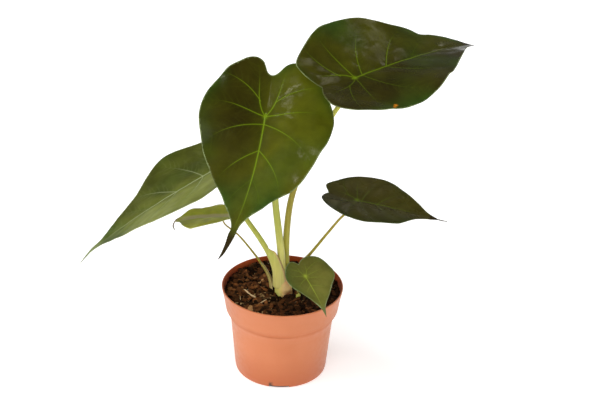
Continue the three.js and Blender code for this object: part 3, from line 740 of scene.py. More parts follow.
def cut_sheet(ring, veins, lines):
    """Flat points and triangles of the blade, with all lines kept as edges."""
    points, edges = list(ring), [(i, (i + 1) % len(ring)) for i in range(len(ring))]

    def keep_line(line):
        line = line[inside(line, ring)]
        if len(line) < 2:
            return
        base = len(points)
        points.extend(line)
        edges.extend((base + i, base + i + 1) for i in range(len(line) - 1))

    for vein in veins:
        taper = vein["half"] * np.linspace(1, 0.35, len(vein["line"]))[:, None]
        for share in (-1, -0.5, 0, 0.5, 1) if vein["rank"] == 0 else (-1, 0, 1):
            side = offset(vein["line"], 1.0) - vein["line"]
            keep_line(vein["line"] + side * taper * share)
    for line in lines:
        keep_line(line)
    kept = np.array(points)
    low, high = ring.min(0), ring.max(0)
    rows = np.arange(low[1], high[1], ROW_STEP)
    field = np.array([(x + (row % 2) * SHEET_STEP / 2, y) for row, y in enumerate(rows)
                      for x in np.arange(low[0], high[0], SHEET_STEP)])
    field = field[inside(field, ring)]
    cells = {tuple(cell) for cell in np.floor(kept / CLEARANCE).astype(int)}
    clear = [tuple(cell) not in cells for cell in np.floor(field / CLEARANCE).astype(int)]
    points.extend(field[np.array(clear)])
    found = geometry.delaunay_2d_cdt(
        [Vector(p) for p in points], edges, [list(range(len(ring)))[::-1]],
        INSIDE_ONLY, WELD, True)
    flat = np.array([tuple(v) for v in found[0]])
    triangles = np.array([face for face, source in zip(found[2], found[5]) if source])
    used = np.unique(triangles)
    number = np.full(len(flat), -1)
    number[used] = np.arange(len(used))
    return flat[used], number[triangles]


# %% Masks for the veins
NEAR_VEIN = 4.5  # how far the pleats and the painted crease shade reach from a vein
FINE_HALF, FINE_NEAR = 0.55, 14  # half width of a fine vein, and how far off it is looked for
HUB_SPOT = 2.2  # size of the pale spot over the hub


def vein_masks(flat, veins, lines):
    """For every flat point: vein strength, nearness to a vein, rib height and fine veins."""
    count = len(flat)
    strength, near, rib, fine = (np.zeros(count) for _ in range(4))
    for vein in veins:
        gap, at = line_distance(flat, vein["line"])
        half = vein["half"] * mix(1, 0.35, at)
        fade_from = 0.30 if vein["rank"] else 0.35  # share of the way along the vein
        bright = vein["show"] * (1 - 0.95 * smoothstep(at, fade_from, 0.9))
        strength = np.maximum(strength, np.clip(1.1 - gap / half, 0, 1) * bright)
        near = np.maximum(near, np.exp(-(gap / NEAR_VEIN) ** 2) * (1 - 0.7 * at))
        round_top = np.sqrt(np.clip(1 - (gap / (half * 1.05)) ** 2, 0, 1))
        rib = np.maximum(rib, vein["rib"] * mix(1, 0.12, at) * round_top)
    for line in lines:
        reach = np.abs(flat - line.mean(0)).max(1) < FINE_NEAR
        gap, at = line_distance(flat[reach], line)
        shown = np.clip(1 - gap / FINE_HALF, 0, 1) * mix(1, 0.3, at)
        fine[reach] = np.maximum(fine[reach], shown)
    return strength, near, rib, fine


def brighten(name, leaf, flat, strength):
    """Adds the pale spot over the hub; the young leaf has a broad stripe for a midrib."""
    spot = np.exp(-(np.linalg.norm(flat, axis=1) / HUB_SPOT) ** 2)
    strength = np.maximum(strength, spot)
    if name == "left_small":
        stripe = 1 - smoothstep(np.abs(flat[:, 1]), 2.5, 6.0)
        strength = np.maximum(strength, stripe * smoothstep(leaf["length"] - flat[:, 0], 8, 30))
    return strength


# %% [markdown]
# ## Relief of a blade
# The tissue between the veins stands up like a quilt, the veins lie in its creases, and below
# they stand out as ribs, with a knob where the stalk takes hold. All of this is a few
# tenths of a millimetre, but it is what makes a glossy blade glint in broken patches. The real
# surface is moved, as the lowest ribs show in outline and a bump map would not.

# %% Relief
THICK, RIM = 0.55, 0.4  # of the fine blade, in the middle and at its edge
PLEAT = {**dict.fromkeys(LEAVES, 0.38), "right": 0.75, "left": 0.6}  # depth of the creases
KNOB_HEIGHT, KNOB_REACH = 1.35, 3.2  # of the knob below the hub


def drift(flat, size, seed):
    """Slow noise over the flat blade; a larger size gives smaller patches."""
    return np.array([noise.noise(Vector((x * size, y * size, seed))) for x, y in flat])


def relief(flat, edge, pleat, strength, near, rib, fine, seed):
    """How far the rim's, the upper and the lower surface lie above the bent sheet."""
    hub = np.linalg.norm(flat, axis=1)
    half_thick = mix(RIM, THICK, smoothstep(edge, 0, 6)) / 2
    quilt = -pleat * near * smoothstep(edge, 0, 8) - 0.06 * fine
    quilt = quilt + (0.30 * drift(flat, 0.09, seed) + 0.035 * drift(flat, 0.24, seed + 5.0))
    ridge = 0.12 * strength * smoothstep(hub, 0, 3)
    below = np.maximum(rib, KNOB_HEIGHT * np.exp(-(hub / KNOB_REACH) ** 2)) + 0.12 * fine
    below = below * smoothstep(edge, 0, 1.5)
    return quilt, half_thick + quilt + ridge, quilt - half_thick - below


# %% Joining the two faces
RIM_BULGE = 0.12  # how far the rounded rim stands out between them


def boundary_loop(triangles):
    """The open edge of the sheet as one loop of point numbers, in the triangles' direction."""
    onward = {(int(a), int(b)) for t in triangles for a, b in zip(t, np.roll(t, -1))}
    follow = {a: b for a, b in onward if (b, a) not in onward}
    start = next(iter(follow))
    loop = [start]
    while follow[loop[-1]] != start and len(loop) <= len(follow):
        loop.append(follow[loop[-1]])
    if len(loop) != len(follow):
        raise ValueError(f"the sheet's edge is not one loop: {len(loop)} of {len(follow)}")
    return np.array(loop)


def outward(flat, border):
    """Which way is out of the flat sheet at each point of its edge."""
    along = flat[border] - flat[np.roll(border, 1)] + flat[np.roll(border, -1)] - flat[border]
    out = np.stack([along[:, 1], -along[:, 0]], axis=1)
    return out / np.linalg.norm(out, axis=1)[:, None]


def join_faces(triangles, border, count):
    """Upper face, lower face and two rows of quads round the rim, with each one's finish."""
    faces = [tuple(t) for t in triangles] + [tuple(t[::-1] + count) for t in triangles]
    finish_of = [0] * len(triangles) + [1] * len(triangles)
    for i, (a, b) in enumerate(zip(border, np.roll(border, -1))):
        rim_a, rim_b = 2 * count + i, 2 * count + (i + 1) % len(border)
        faces += [(b, a, rim_a, rim_b), (rim_b, rim_a, a + count, b + count)]
        finish_of += [0, 0]
    return faces, finish_of


# %% [markdown]
# ## Masks painted on a blade
# A blade isn't painted of one green: one half is painted lighter than the other, as painted
# light and shade, a band along the margin is painted blue-green as a painted sheen, slow
# patches are a deeper green of the blade's own, and old spots go orange. Each such mask is one
# number for every point of the mesh, worked out from the flat sheet, where all distances are
# simple. A finish reads them by name, so it needs no image.

# %% Tones of a blade
MARGIN = 0.6  # width of the pale line along the margin, in mm

# Small orange spots where a blade begins to age: along and across the blade, and size, in mm.
BLEMISHES = {"top": [(3.3, -56.2, 2.4), (1.0, -57.5, 1.6)]}

# Painted light and shade of each leaf, from 0 for its shade colour to 1 for its lit one: left
# side, right side, then what is added towards the tip.
LEAF_LIGHT_AND_SHADE = {"front": (1.0, 0.12, 0.35), "top": (0.42, 0.12, 0.0), "left": (0.85, 0.05, 0.1),
         "left_small": (1.0, 1.0, 0.0), "right": (0.3, 0.3, 0.1), "low": (0.9, 0.6, 0.1)}


def leaf_light_and_shade(name, leaf, flat, seed):
    # painted light and shade: one side of the blade is lighter than the other, with slow noise of its
    # own tone
    left, right, ahead = LEAF_LIGHT_AND_SHADE[name]
    across = smoothstep(flat[:, 1] / np.mean(leaf["half"]), -0.35, 0.35)
    tone = mix(right, left, across) + ahead * smoothstep(flat[:, 0] / leaf["length"], 0, 0.7)
    return np.clip(tone + 0.22 * drift(flat, 0.03, seed + 9.0), 0, 1)


def margin_sheen_and_deep_green(leaf, flat, edge, seed):
    """Where a blade is painted blue-green: a band along the margin, as a painted sheen, and slow patches
    of its own deeper green.
    """
    slow = drift(flat, 0.022, seed + 21.0)
    band = np.exp(-edge / (0.14 * np.mean(leaf["half"])))
    return np.clip(0.85 * band * smoothstep(slow, -0.25, 0.25) + 0.3 * smoothstep(slow, 0.1, 0.5),
                   0, 1)


def blemishes(name, flat):
    mask = np.zeros(len(flat))
    for x, y, size in BLEMISHES.get(name, []):
        gap = np.hypot(flat[:, 0] - x, flat[:, 1] - y)
        mask = np.maximum(mask, 1 - smoothstep(gap, 0.3 * size, size))
    return mask


def paint_blade(piece, name, leaf, flat, border, edge, strength, near, fine, seed):
    """Stores every mask for the upper face, the lower face and the rim."""
    tail = smoothstep(flat[:, 0], leaf["length"] - 1.2 * leaf["tail"],
                      leaf["length"] - 0.7 * leaf["tail"])
    margin = np.clip(1.1 - edge / MARGIN, 0, 1) * (1 - tail)
    for label, values in (("vein", strength), ("near_vein", near), ("fine_vein", fine)):
        paint(piece, label, np.concatenate([values, values, np.zeros(len(border))]))
    paint(piece, "margin", np.concatenate([margin, margin, 1 - tail[border]]))
    # the tone mask carries painted light and shade, and the margin band in the deep-green mask a painted
    # sheen
    for label, values in (("tail", tail), ("deep_and_sheen", margin_sheen_and_deep_green(leaf, flat, edge, seed)),
                          ("blemish", blemishes(name, flat)),
                          ("tone", leaf_light_and_shade(name, leaf, flat, seed))):
        paint(piece, label, np.concatenate([values, values, values[border]]))


# %% A map of the flat sheet
def unfold(piece, leaf, flat, finish_of):
    """The upper face lies on the left half of the map, the lower one on the right."""
    gap = 4  # mm left free round each half
    span = leaf["length"] + leaf["lobe"] + gap
    across = sum(leaf["half"]) + gap
    size = max(span, across * 2)
    u = (flat[:, 1] + leaf["half"][1] + gap / 2) / size
    v = (flat[:, 0] + leaf["lobe"] + gap / 2) / size
    layer = piece.data.uv_layers.new(name="OFBake")
    corners = np.zeros(len(piece.data.loops), np.int32)
    piece.data.loops.foreach_get("vertex_index", corners)
    lower = np.repeat(np.array(finish_of), [p.loop_total for p in piece.data.polygons])
    place = np.stack([u[corners] + lower * across / size, v[corners]], axis=1)
    layer.data.foreach_set("uv", place.astype(np.float32).ravel())


# %% Building one blade
FINE_SPACING = (3.2, 6.2)  # between fine veins, on a very small blade and on a large one


def build_blade(name, leaf, seed, finishes):
    """Cuts, bends, thickens, paints and unfolds one blade."""
    ring = outline(leaf, STEP)
    veins = main_veins(name, leaf, STEP, seed)
    scale = np.mean(leaf["half"]) / 60
    lines = fine_veins(veins, ring, STEP, mix(*FINE_SPACING, min(scale, 1)), 13 * scale + 3)
    flat, triangles = cut_sheet(ring, veins, lines)
    strength, near, rib, fine = vein_masks(flat, veins, lines)
    strength = brighten(name, leaf, flat, strength)
    edge = line_distance(flat, np.concatenate([ring, ring[:1]]))[0]
    quilt, above, below = relief(flat, edge, PLEAT[name], strength, near, rib, fine, seed)
    middle, normal = bend_sheet(leaf, flat), sheet_normals(leaf, flat)
    border = boundary_loop(triangles)
    rim = (bend_sheet(leaf, flat[border] + outward(flat, border) * RIM_BULGE)
           + normal[border] * quilt[border, None])
    points = np.concatenate([middle + normal * above[:, None],
                             middle + normal * below[:, None], rim])
    faces, finish_of = join_faces(triangles, border, len(flat))
    piece = make_piece(f"{name}_leaf_blade", points @ leaf_turn(leaf).T + leaf["hub"], faces,
                       finishes, [f"blade_{name}"], finish_of=finish_of)
    paint_blade(piece, name, leaf, flat, border, edge, strength, near, fine, seed)
    unfold(piece, leaf, np.concatenate([flat, flat, flat[border]]), finish_of)
    return piece


# %% [markdown]
# ## Leaf finishes
# The upper face is dark olive to bronze with a waxy gloss, and its veins are yellow-green
# lines that fade towards the margin, which carries a thin pale line of its own. Each upper face
# has a shade colour and a lit colour, mixed by painted light and shade, and the tissue beside a
# vein is painted a little darker, as painted shade in its crease. The lower face is paler and
# dull. The masks were painted on the points, so the shader only mixes, and one recipe makes the
# finish of every leaf.


# %% Leaf recipe
BLOTCH_COLOURS = dict(First=(0.78, 0.76, 0.72, 1), Second=(1.04, 1.04, 1.04, 1))
# the colour of the painted shade in the creases beside the veins, then the orange of old spots
CREASE_SHADE_COLOUR, ORANGE_SPOT = (0.62, 0.76, 0.60, 1), (0.62, 0.20, 0.010, 1)


def leaf_finish(name, shade, light, deep_and_sheen, veinlet, vein, rim, tail, roughness, fine_share=0.09,
                **constants):
    material, tree, surface = start_finish(name, roughness, **constants)
    # painted light and shade: the tone mask mixes each leaf's shade colour and its lit colour
    colour = blend_colours(tree, painted(tree, "tone"), shade, light)
    # painted sheen: a band along the margin turns blue-green, beside slow patches of the blade's own
    # deeper green
    colour = blend_colours(tree, painted(tree, "deep_and_sheen"), colour, deep_and_sheen)
    blotches = place_group(tree, DRIFT, Size=70.0, Detail=5.0, Low=0.3, High=0.72,
                           **BLOTCH_COLOURS)
    colour = blend_colours(tree, 1.0, colour, blotches.outputs["Color"], "MULTIPLY")
    # painted shade: the creases beside the veins are darker
    near = calculate(tree, "MULTIPLY", painted(tree, "near_vein"), 0.5)
    colour = blend_colours(tree, near, colour, CREASE_SHADE_COLOUR, "MULTIPLY")
    fine = calculate(tree, "MULTIPLY", painted(tree, "fine_vein"), fine_share)
    colour = blend_colours(tree, fine, colour, veinlet)
    colour = blend_colours(tree, painted(tree, "vein"), colour, vein)
    broken = place_group(tree, DRIFT, Size=45.0, Detail=2.0, Low=0.38, High=0.60)
    edge = calculate(tree, "MULTIPLY", painted(tree, "margin"),
                     spread(tree, broken.outputs["Mask"], 0.0, 1.0, 0.30, 1.0))
    colour = blend_colours(tree, edge, colour, rim)
    colour = blend_colours(tree, painted(tree, "tail"), colour, tail)
    colour = blend_colours(tree, painted(tree, "blemish"), colour, ORANGE_SPOT)
    wire(tree, colour, surface.inputs["Base Color"])
    gloss = place_group(tree, DRIFT, Size=60.0, Detail=2.0, Low=0.3, High=0.7)
    wire(tree, spread(tree, gloss.outputs["Mask"], 0.0, 1.0, roughness - 0.03, roughness + 0.06),
         surface.inputs["Roughness"])
    pores = place_group(tree, PORES, Cells=700.0, Grain=2600.0, Grain_Share=0.3)
    add_relief(tree, surface, pores.outputs["Height"], 0.10, 0.10)
    return material


# %% Leaf materials
DARK_TOP = leaf_finish(
    "dark_leaf_top", shade=(0.026, 0.020, 0.0016, 1), light=(0.092, 0.098, 0.0048, 1),
    deep_and_sheen=(0.030, 0.070, 0.0075, 1), veinlet=(0.090, 0.116, 0.006, 1),
    vein=(0.150, 0.235, 0.005, 1), rim=(0.24, 0.29, 0.12, 1), tail=(0.026, 0.017, 0.004, 1),
    roughness=0.16, specular_ior_level=0.20)
BRONZE_TOP = leaf_finish(
    "bronze_leaf_top", shade=(0.058, 0.048, 0.010, 1), light=(0.084, 0.072, 0.010, 1),
    deep_and_sheen=(0.034, 0.044, 0.008, 1), veinlet=(0.090, 0.090, 0.020, 1),
    vein=(0.130, 0.190, 0.008, 1), rim=(0.10, 0.12, 0.04, 1), tail=(0.030, 0.020, 0.006, 1),
    roughness=0.26, specular_ior_level=0.26)
PALE_TOP = leaf_finish(
    "pale_leaf_top", shade=(0.060, 0.070, 0.008, 1), light=(0.225, 0.255, 0.046, 1),
    deep_and_sheen=(0.060, 0.092, 0.016, 1), veinlet=(0.240, 0.260, 0.100, 1),
    vein=(0.400, 0.440, 0.220, 1), rim=(0.46, 0.50, 0.28, 1), tail=(0.180, 0.220, 0.080, 1),
    roughness=0.5, fine_share=0.13, specular_ior_level=0.06)
LOW_TOP = leaf_finish(
    "low_leaf_top", shade=(0.105, 0.115, 0.020, 1), light=(0.230, 0.215, 0.042, 1),
    deep_and_sheen=(0.075, 0.115, 0.022, 1), veinlet=(0.260, 0.270, 0.070, 1),
    vein=(0.400, 0.480, 0.050, 1), rim=(0.30, 0.34, 0.15, 1), tail=(0.150, 0.180, 0.060, 1),
    roughness=0.42, fine_share=0.14, specular_ior_level=0.18)
YOUNG_TOP = leaf_finish(
    "young_leaf_top", shade=(0.52, 0.54, 0.060, 1), light=(0.86, 0.84, 0.115, 1),
    deep_and_sheen=(0.42, 0.48, 0.060, 1), veinlet=(0.50, 0.52, 0.10, 1), vein=(0.86, 0.74, 0.42, 1),
    rim=(0.66, 0.70, 0.35, 1), tail=(0.20, 0.12, 0.06, 1), roughness=0.5,
    specular_ior_level=0.14)
UNDERSIDE = leaf_finish(
    "leaf_underside", shade=(0.090, 0.120, 0.030, 1), light=(0.140, 0.160, 0.045, 1),
    deep_and_sheen=(0.080, 0.120, 0.035, 1), veinlet=(0.170, 0.210, 0.070, 1),
    vein=(0.300, 0.340, 0.120, 1), rim=(0.34, 0.38, 0.18, 1), tail=(0.100, 0.080, 0.030, 1),
    roughness=0.55, specular_ior_level=0.2)
TOPS = {"front": DARK_TOP, "top": DARK_TOP, "left": PALE_TOP, "left_small": YOUNG_TOP,
        "right": BRONZE_TOP, "low": LOW_TOP}
print("leaf finishes:", {name: top.name for name, top in TOPS.items()}, UNDERSIDE.name)

# %% The six blades
for seed, (name, leaf) in enumerate(LEAVES.items(), start=3):
    piece = build_blade(name, leaf, seed, [TOPS[name], UNDERSIDE])
    print(piece.name, len(piece.data.polygons), "faces")

# %% [markdown]
# ## Stalks
# Each stalk is a tapering round stem that follows a smooth path from the crown to the hub.
# Low down it opens into a sheath, a trough with thin papery margins that once wrapped the
# next leaf. A swept skin whose section changes along the way can do both; a bevelled curve
# could only do the stem.


# %% Stalk paths
def spline(points, per_span=24):
    """A centripetal curve through all points; it doesn't overshoot where they are uneven."""
    points = np.array(points, float)
    padded = np.concatenate([[2 * points[0] - points[1]], points, [2 * points[-1] - points[-2]]])
    u = np.linspace(0, 1, per_span, endpoint=False)[:, None]
    line = []
    for a, b, c, d in zip(padded, padded[1:], padded[2:], padded[3:]):
        ab, bc, cd = (math.sqrt(np.linalg.norm(q - p)) for p, q in ((a, b), (b, c), (c, d)))
        leave = ((b - a) / ab - (c - a) / (ab + bc) + (c - b) / bc) * bc
        arrive = ((c - b) / bc - (d - b) / (bc + cd) + (d - c) / cd) * bc
        line.append(b + leave * u + (3 * (c - b) - 2 * leave - arrive) * u ** 2
                    + (2 * (b - c) + leave + arrive) * u ** 3)
    return np.concatenate(line + [points[-1:]])


def stalk_path(leaf, sink):
    """The stalk's middle line, sunk by so much into the crown, and the direction it ends in."""
    up = leaf_turn(leaf) @ np.array([0, 0, 1.0])
    hub = np.array(leaf["hub"], float)
    foot = np.array(leaf["route"][0], float) - [0, 0, sink]
    start = [foot] if sink else []
    return spline([*start, *leaf["route"], hub - up * leaf["approach"], hub - up * 0.9]), up


# %% Sections and skins
STALK_STEP, STALK_CORNERS = (1.3, 40) if FINE else (3.0, 20)


def stalk_section(leaf, u, corners):
    """One ring of the stalk at u, and how papery each of its corners is."""
    angle = math.pi / 2 + 2 * math.pi * np.arange(corners) / corners
    flare = 1 + 0.35 * smoothstep(u, 0.95, 1.0)  # the stalk widens where it takes the blade
    radius = np.interp(u, (0, 0.5, 1), leaf["radius"]) * flare
    ring = np.stack([np.cos(angle), np.sin(angle)], axis=1) * radius
    sheath = leaf.get("sheath")
    if not sheath:
        return ring, np.zeros(corners)
    opened = 1 - smoothstep(u, sheath["end"] * 0.8, sheath["end"])
    way = min(u / sheath["end"], 1)
    big = mix(*sheath["width"], way)
    half = math.radians(mix(*sheath["wrap"], way))
    k = np.arange(corners)
    outside = k <= corners / 2
    step = np.where(outside, k, corners - k)
    turn = math.pi - half + step / (corners / 2) * 2 * half
    edge = np.abs(step - corners / 4) / (corners / 4)
    wall = mix(sheath["wall"], 0.3, edge ** 1.5)
    reach = np.where(outside, big, big - wall)
    trough = np.stack([big - radius + reach * np.cos(turn), reach * np.sin(turn)], axis=1)
    return mix(ring, trough, opened), smoothstep(edge, 0.80, 1.0) * opened


def build_stalk(name, leaf, finish, sink):
    path, up = stalk_path(leaf, sink)
    path, corners = evenly(path, STALK_STEP), STALK_CORNERS
    facing = math.radians(leaf.get("sheath", {}).get("open", 0))
    towards = np.array([math.cos(facing), math.sin(facing), 0])
    tangents = np.gradient(path, axis=0)
    tangents[0], tangents[-1] = (0, 0, 1), up
    points, papery, height = [], [], []
    length = len(path) - 1
    for i, (place, axis) in enumerate(zip(path, tangents)):
        axis = axis / np.linalg.norm(axis)
        side = towards - axis * (towards @ axis)
        side /= np.linalg.norm(side)
        across = np.cross(axis, side)
        ring, paper = stalk_section(leaf, i / length, corners)
        points.append(place + ring[:, :1] * side + ring[:, 1:] * across)
        papery.append(paper)
        height.append(np.full(corners, i / length))
    faces = []
    for i in range(length):
        for k in range(corners):
            a, b = i * corners + k, i * corners + (k + 1) % corners
            faces.append((a, b, b + corners, a + corners))
    for start, flip in ((0, True), (length * corners, False)):
        for k in range(corners // 2):
            quad = [start + k, start + k + 1, start + (corners - k - 1) % corners,
                    start + (corners - k) % corners]
            quad = list(dict.fromkeys(quad))
            if len(quad) > 2:
                faces.append(tuple(quad[::-1] if flip else quad))
    piece = make_piece(f"{name}_stem", np.concatenate(points), faces, [finish],
                       [f"stalk_{name}"])
    paint(piece, "papery", np.concatenate(papery))
    paint(piece, "upward", np.concatenate(height))
    return piece


# %% [markdown]
# ## Stalk and crown finish
# Stalk tissue is watery, so light runs a little way inside it: a small share of subsurface
# scattering gives the glow that a plain green lacks. Its colour runs from cream at the foot
# to olive at the top, with faint lengthwise streaks.


# %% Stalk materials
def stalk_finish(name, foot, middle, top, paper, top_from=0.3):
    material, tree, surface = start_finish(
        name, 0.42, subsurface_weight=0.18, subsurface_scale=0.002, specular_ior_level=0.25)
    surface.inputs["Subsurface Radius"].default_value = (0.9, 1.0, 0.3)
    upward = painted(tree, "upward")
    lower = blend_colours(tree, spread(tree, upward, 0.02, 0.40), foot, middle)
    colour = blend_colours(tree, spread(tree, upward, top_from, 1.0), lower, top)
    streaks = place_group(tree, DRIFT, Size=420.0, Stretch=(1, 1, 0.05), Detail=2.0, Low=0.35,
                          High=0.70, First=(1, 1, 1, 1), Second=(0.80, 0.76, 0.52, 1))
    colour = blend_colours(tree, 0.6, colour, streaks.outputs["Color"], "MULTIPLY")
    colour = blend_colours(tree, painted(tree, "papery"), colour, paper)
    wire(tree, colour, surface.inputs["Base Color"])
    pores = place_group(tree, PORES, Cells=1500.0, Grain=3500.0, Grain_Share=0.5)
    add_relief(tree, surface, pores.outputs["Height"], 0.2, 0.1)
    return material


PALE_STALK = stalk_finish("pale_stalk", (0.84, 0.76, 0.26, 1), (0.48, 0.50, 0.095, 1),
                          (0.44, 0.45, 0.075, 1), (0.78, 0.46, 0.24, 1))
OLIVE_STALK = stalk_finish("olive_stalk", (0.56, 0.54, 0.10, 1), (0.36, 0.30, 0.04, 1),
                           (0.78, 0.80, 0.16, 1), (0.58, 0.38, 0.18, 1), top_from=0.62)
THIN_STALK = stalk_finish("thin_stalk", (0.72, 0.60, 0.26, 1), (0.36, 0.30, 0.04, 1),
                          (0.38, 0.28, 0.03, 1), (0.74, 0.60, 0.32, 1))

# %% The six stalks
CROWN_STALKS = {"front": PALE_STALK, "left": PALE_STALK, "top": OLIVE_STALK}
SINK = 5  # how far these stand in the crown; the thin ones already start below the soil
for name, leaf in LEAVES.items():
    sink = SINK if name in CROWN_STALKS else 0
    piece = build_stalk(name, leaf, CROWN_STALKS.get(name, THIN_STALK), sink)
    print(piece.name, len(piece.data.polygons), "faces")

# %% [markdown]
# ## Crown
# The foot of the plant is a smooth pale swelling, half in the soil, with the faint rings that
# fallen leaves leave behind and a brown stain where it touches the soil. It narrows into a
# sleeve that wraps the front stalk. It is turned from a profile, then leaned to the left as a
# whole. Its left side, where the sheath grows out of it, is green.

# %% The crown's shape
CROWN = dict(x=1.2, y=-2.5, lean=-0.14, bottom=66, bulge_z=86, top=97, bulge=8.8, neck=8.2)
SOIL = dict(level=85.5, climb=0.035, lump=1.8, sag=0.9, dip=0.1)
CROWN_SIDES = 72


def ring_grid(radii, heights, sides):
    """Points and faces of a turned form, from the bottom up, closed by a fan at each end."""
    angle = 2 * math.pi * np.arange(sides) / sides
    points = [np.stack([r * np.cos(angle), r * np.sin(angle), np.full(sides, z)], axis=1)
              for r, z in zip(radii, heights)]
    faces = [(i * sides + k, i * sides + (k + 1) % sides,
              (i + 1) * sides + (k + 1) % sides, (i + 1) * sides + k)
             for i in range(len(radii) - 1) for k in range(sides)]
    points = np.concatenate([*points, [[0, 0, heights[0]], [0, 0, heights[-1]]]])
    last, below, above = (len(radii) - 1) * sides, len(points) - 2, len(points) - 1
    faces += [((k + 1) % sides, k, below) for k in range(sides)]
    faces += [(last + k, last + (k + 1) % sides, above) for k in range(sides)]
    return points, faces


def crown_points():
    """The turned crown with its sleeve, made a little uneven and leaned to the left."""
    b, n, top = CROWN["bulge"], CROWN["neck"], CROWN["top"]
    profile = [(b * 0.55, 67), (b * 0.85, 72), (b * 0.97, 80), (b, CROWN["bulge_z"]),
               (b - 0.4, mix(CROWN["bulge_z"], top, 0.45)), (n - 0.9, top - 0.5),
               (n - 2.1, top + 5.0), (n - 3.1, top + 10.0), (n - 4.2, top + 14.5),
               (1.5, top + 15.0)]
    line = spline(profile, 12)
    points, faces = ring_grid(line[:, 0], line[:, 1], CROWN_SIDES)
    rings = 0.10 * np.sin(points[:, 2] * 2.1) + 0.14 * np.sin(points[:, 2] * 0.9 + 1)
    angle = np.arctan2(points[:, 1], points[:, 0])
    swell = 1 + (rings + 0.18 * np.sin(3 * angle + 0.6)) / b
    points[:, :2] *= swell[:, None]
    points[:, 0] += CROWN["x"] + CROWN["lean"] * (points[:, 2] - SOIL["level"])
    points[:, 1] += CROWN["y"]
    return points, faces


# %% The crown's finish
SHEATH_GREEN, EARTH_STAIN = (0.86, 0.78, 0.20, 1), (0.26, 0.085, 0.030, 1)
crown_finish, tree, surface = start_finish(
    "crown_skin", 0.55, subsurface_weight=0.2, subsurface_scale=0.002, specular_ior_level=0.2)
surface.inputs["Subsurface Radius"].default_value = (1.0, 0.7, 0.4)
tone = place_group(tree, DRIFT, Size=120.0, Detail=3.0, Low=0.35, High=0.7,
                   First=(0.95, 0.66, 0.28, 1), Second=(0.95, 0.52, 0.24, 1))
stain = place_group(tree, DRIFT, Size=300.0, Detail=5.0, Low=0.3, High=0.6)
low_down = calculate(tree, "MULTIPLY", painted(tree, "stained"), stain.outputs["Mask"])
colour = blend_colours(tree, painted(tree, "greening"), tone.outputs["Color"], SHEATH_GREEN)
colour = blend_colours(tree, low_down, colour, EARTH_STAIN)
wire(tree, colour, surface.inputs["Base Color"])
pores = place_group(tree, PORES, Cells=700.0, Grain=2600.0, Grain_Share=0.6)
add_relief(tree, surface, pores.outputs["Height"], 0.3, 0.2)

# %% The crown in place
points, faces = crown_points()
crown = make_piece("crown_swelling", points, faces, [crown_finish], ["crown"])
above = points[:, 2] - SOIL["level"]
paint(crown, "stained", (1 - smoothstep(above, 1.0, 7.0)) * smoothstep(points[:, 0], -5, 5))
to_left = 1 - smoothstep(points[:, 0] - CROWN["lean"] * above, -4, 4.5)
paint(crown, "greening", np.clip(0.8 * smoothstep(above, 14, 26) + to_left, 0, 1))
print(crown.name, len(faces), "faces")

# %% [markdown]
# ## Potting soil
# Potting mix is peat crumbs with chips of bark, pale fibres and a few white grains. A bumpy
# surface alone looks like a brown blanket, so the ground carries thousands of real crumbs
# and chips. They are made as arrays of points in one go and joined by kind, because a
# thousand separate objects would slow Blender down.


# %% Measures of the pot and the soil's surface
POT = dict(height=92, rim=60, foot=44.5, wall=1.3, pad=20, lift=2.5,
           body_top=(50.9, 57), collar_foot=(51.6, 58.4), collar_step=(56.2, 69),
           collar_mid=(57.7, 80))


def soil_height(x, y):
    """Height of the soil at a place: it falls to the front and the wall, and is lumpy."""
    slow = np.sin(x * 0.17 + 1.1) * np.cos(y * 0.15 - 0.4)
    quick = np.sin(x * 0.33 - y * 0.21) * np.cos(y * 0.36 + x * 0.1 + 0.7)
    edge = (np.hypot(x, y) / POT["rim"]) ** 4
    near = np.exp(-((np.hypot(x - CROWN["x"], y - CROWN["y"]) - CROWN["bulge"]) / 8) ** 2)
    return (SOIL["level"] + SOIL["climb"] * y + SOIL["lump"] * (0.5 * slow + 0.5 * quick)
            - SOIL["sag"] * edge - SOIL["dip"] * near)


def pot_inside(clear=0.0):
    """Radius and height of the pot's inside, from the rim down to the middle of the floor."""
    inset, floor = POT["wall"] + clear, POT["lift"] + POT["wall"] + clear
    return [
        (POT["rim"] - inset - 0.2, POT["height"] - 0.4),
        (POT["collar_mid"][0] - inset, POT["collar_mid"][1]),
        (POT["collar_step"][0] - inset, POT["collar_step"][1]),
        (POT["collar_foot"][0] - inset, POT["collar_foot"][1] + 0.4),
        (POT["body_top"][0] - inset, POT["body_top"][1] + 0.2),
        (POT["foot"] + 1.8 - inset, floor + 1.5), (POT["foot"] + 0.6 - inset, floor),
        (POT["pad"] + 1 - inset, floor), (POT["pad"] - inset, inset),
    ]


def rough(points, size, amount, seed):
    """Noise of several sizes at each point."""
    offset_by = Vector((seed * 7.1, seed * 3.3, seed))
    return amount * np.array([noise.fractal(Vector(p) / size + offset_by, 0.9, 2.0, 4)
                              for p in points])


# %% The ground
CLEAR = 0.35  # gap between the soil and the pot
SOIL_SIDES, SOIL_RINGS = (220, 70) if FINE else (90, 30)
inner = pot_inside(CLEAR)
share = (SOIL["level"] - SOIL["sag"] - inner[1][1]) / (inner[0][1] - inner[1][1])
SOIL_RADIUS = mix(inner[1][0], inner[0][0], share) - 0.1
walls = inner[1:][::-1]
radii = [r for r, _ in walls]
radii += [SOIL_RADIUS * (SOIL_RINGS - i) / SOIL_RINGS for i in range(SOIL_RINGS)]
heights = [z for _, z in walls] + [0.0] * SOIL_RINGS
points, faces = ring_grid(radii, heights, SOIL_SIDES)
top = np.arange(len(points)) >= len(walls) * SOIL_SIDES
top[-2] = False  # the point that closes the underside stays where it is
points[top, 2] = soil_height(points[top, 0], points[top, 1]) - 0.6
points[top, 2] += rough(points[top], 6.0, 1.1, 2)
print("soil:", len(points), "points, radius", round(SOIL_RADIUS, 1), "mm")


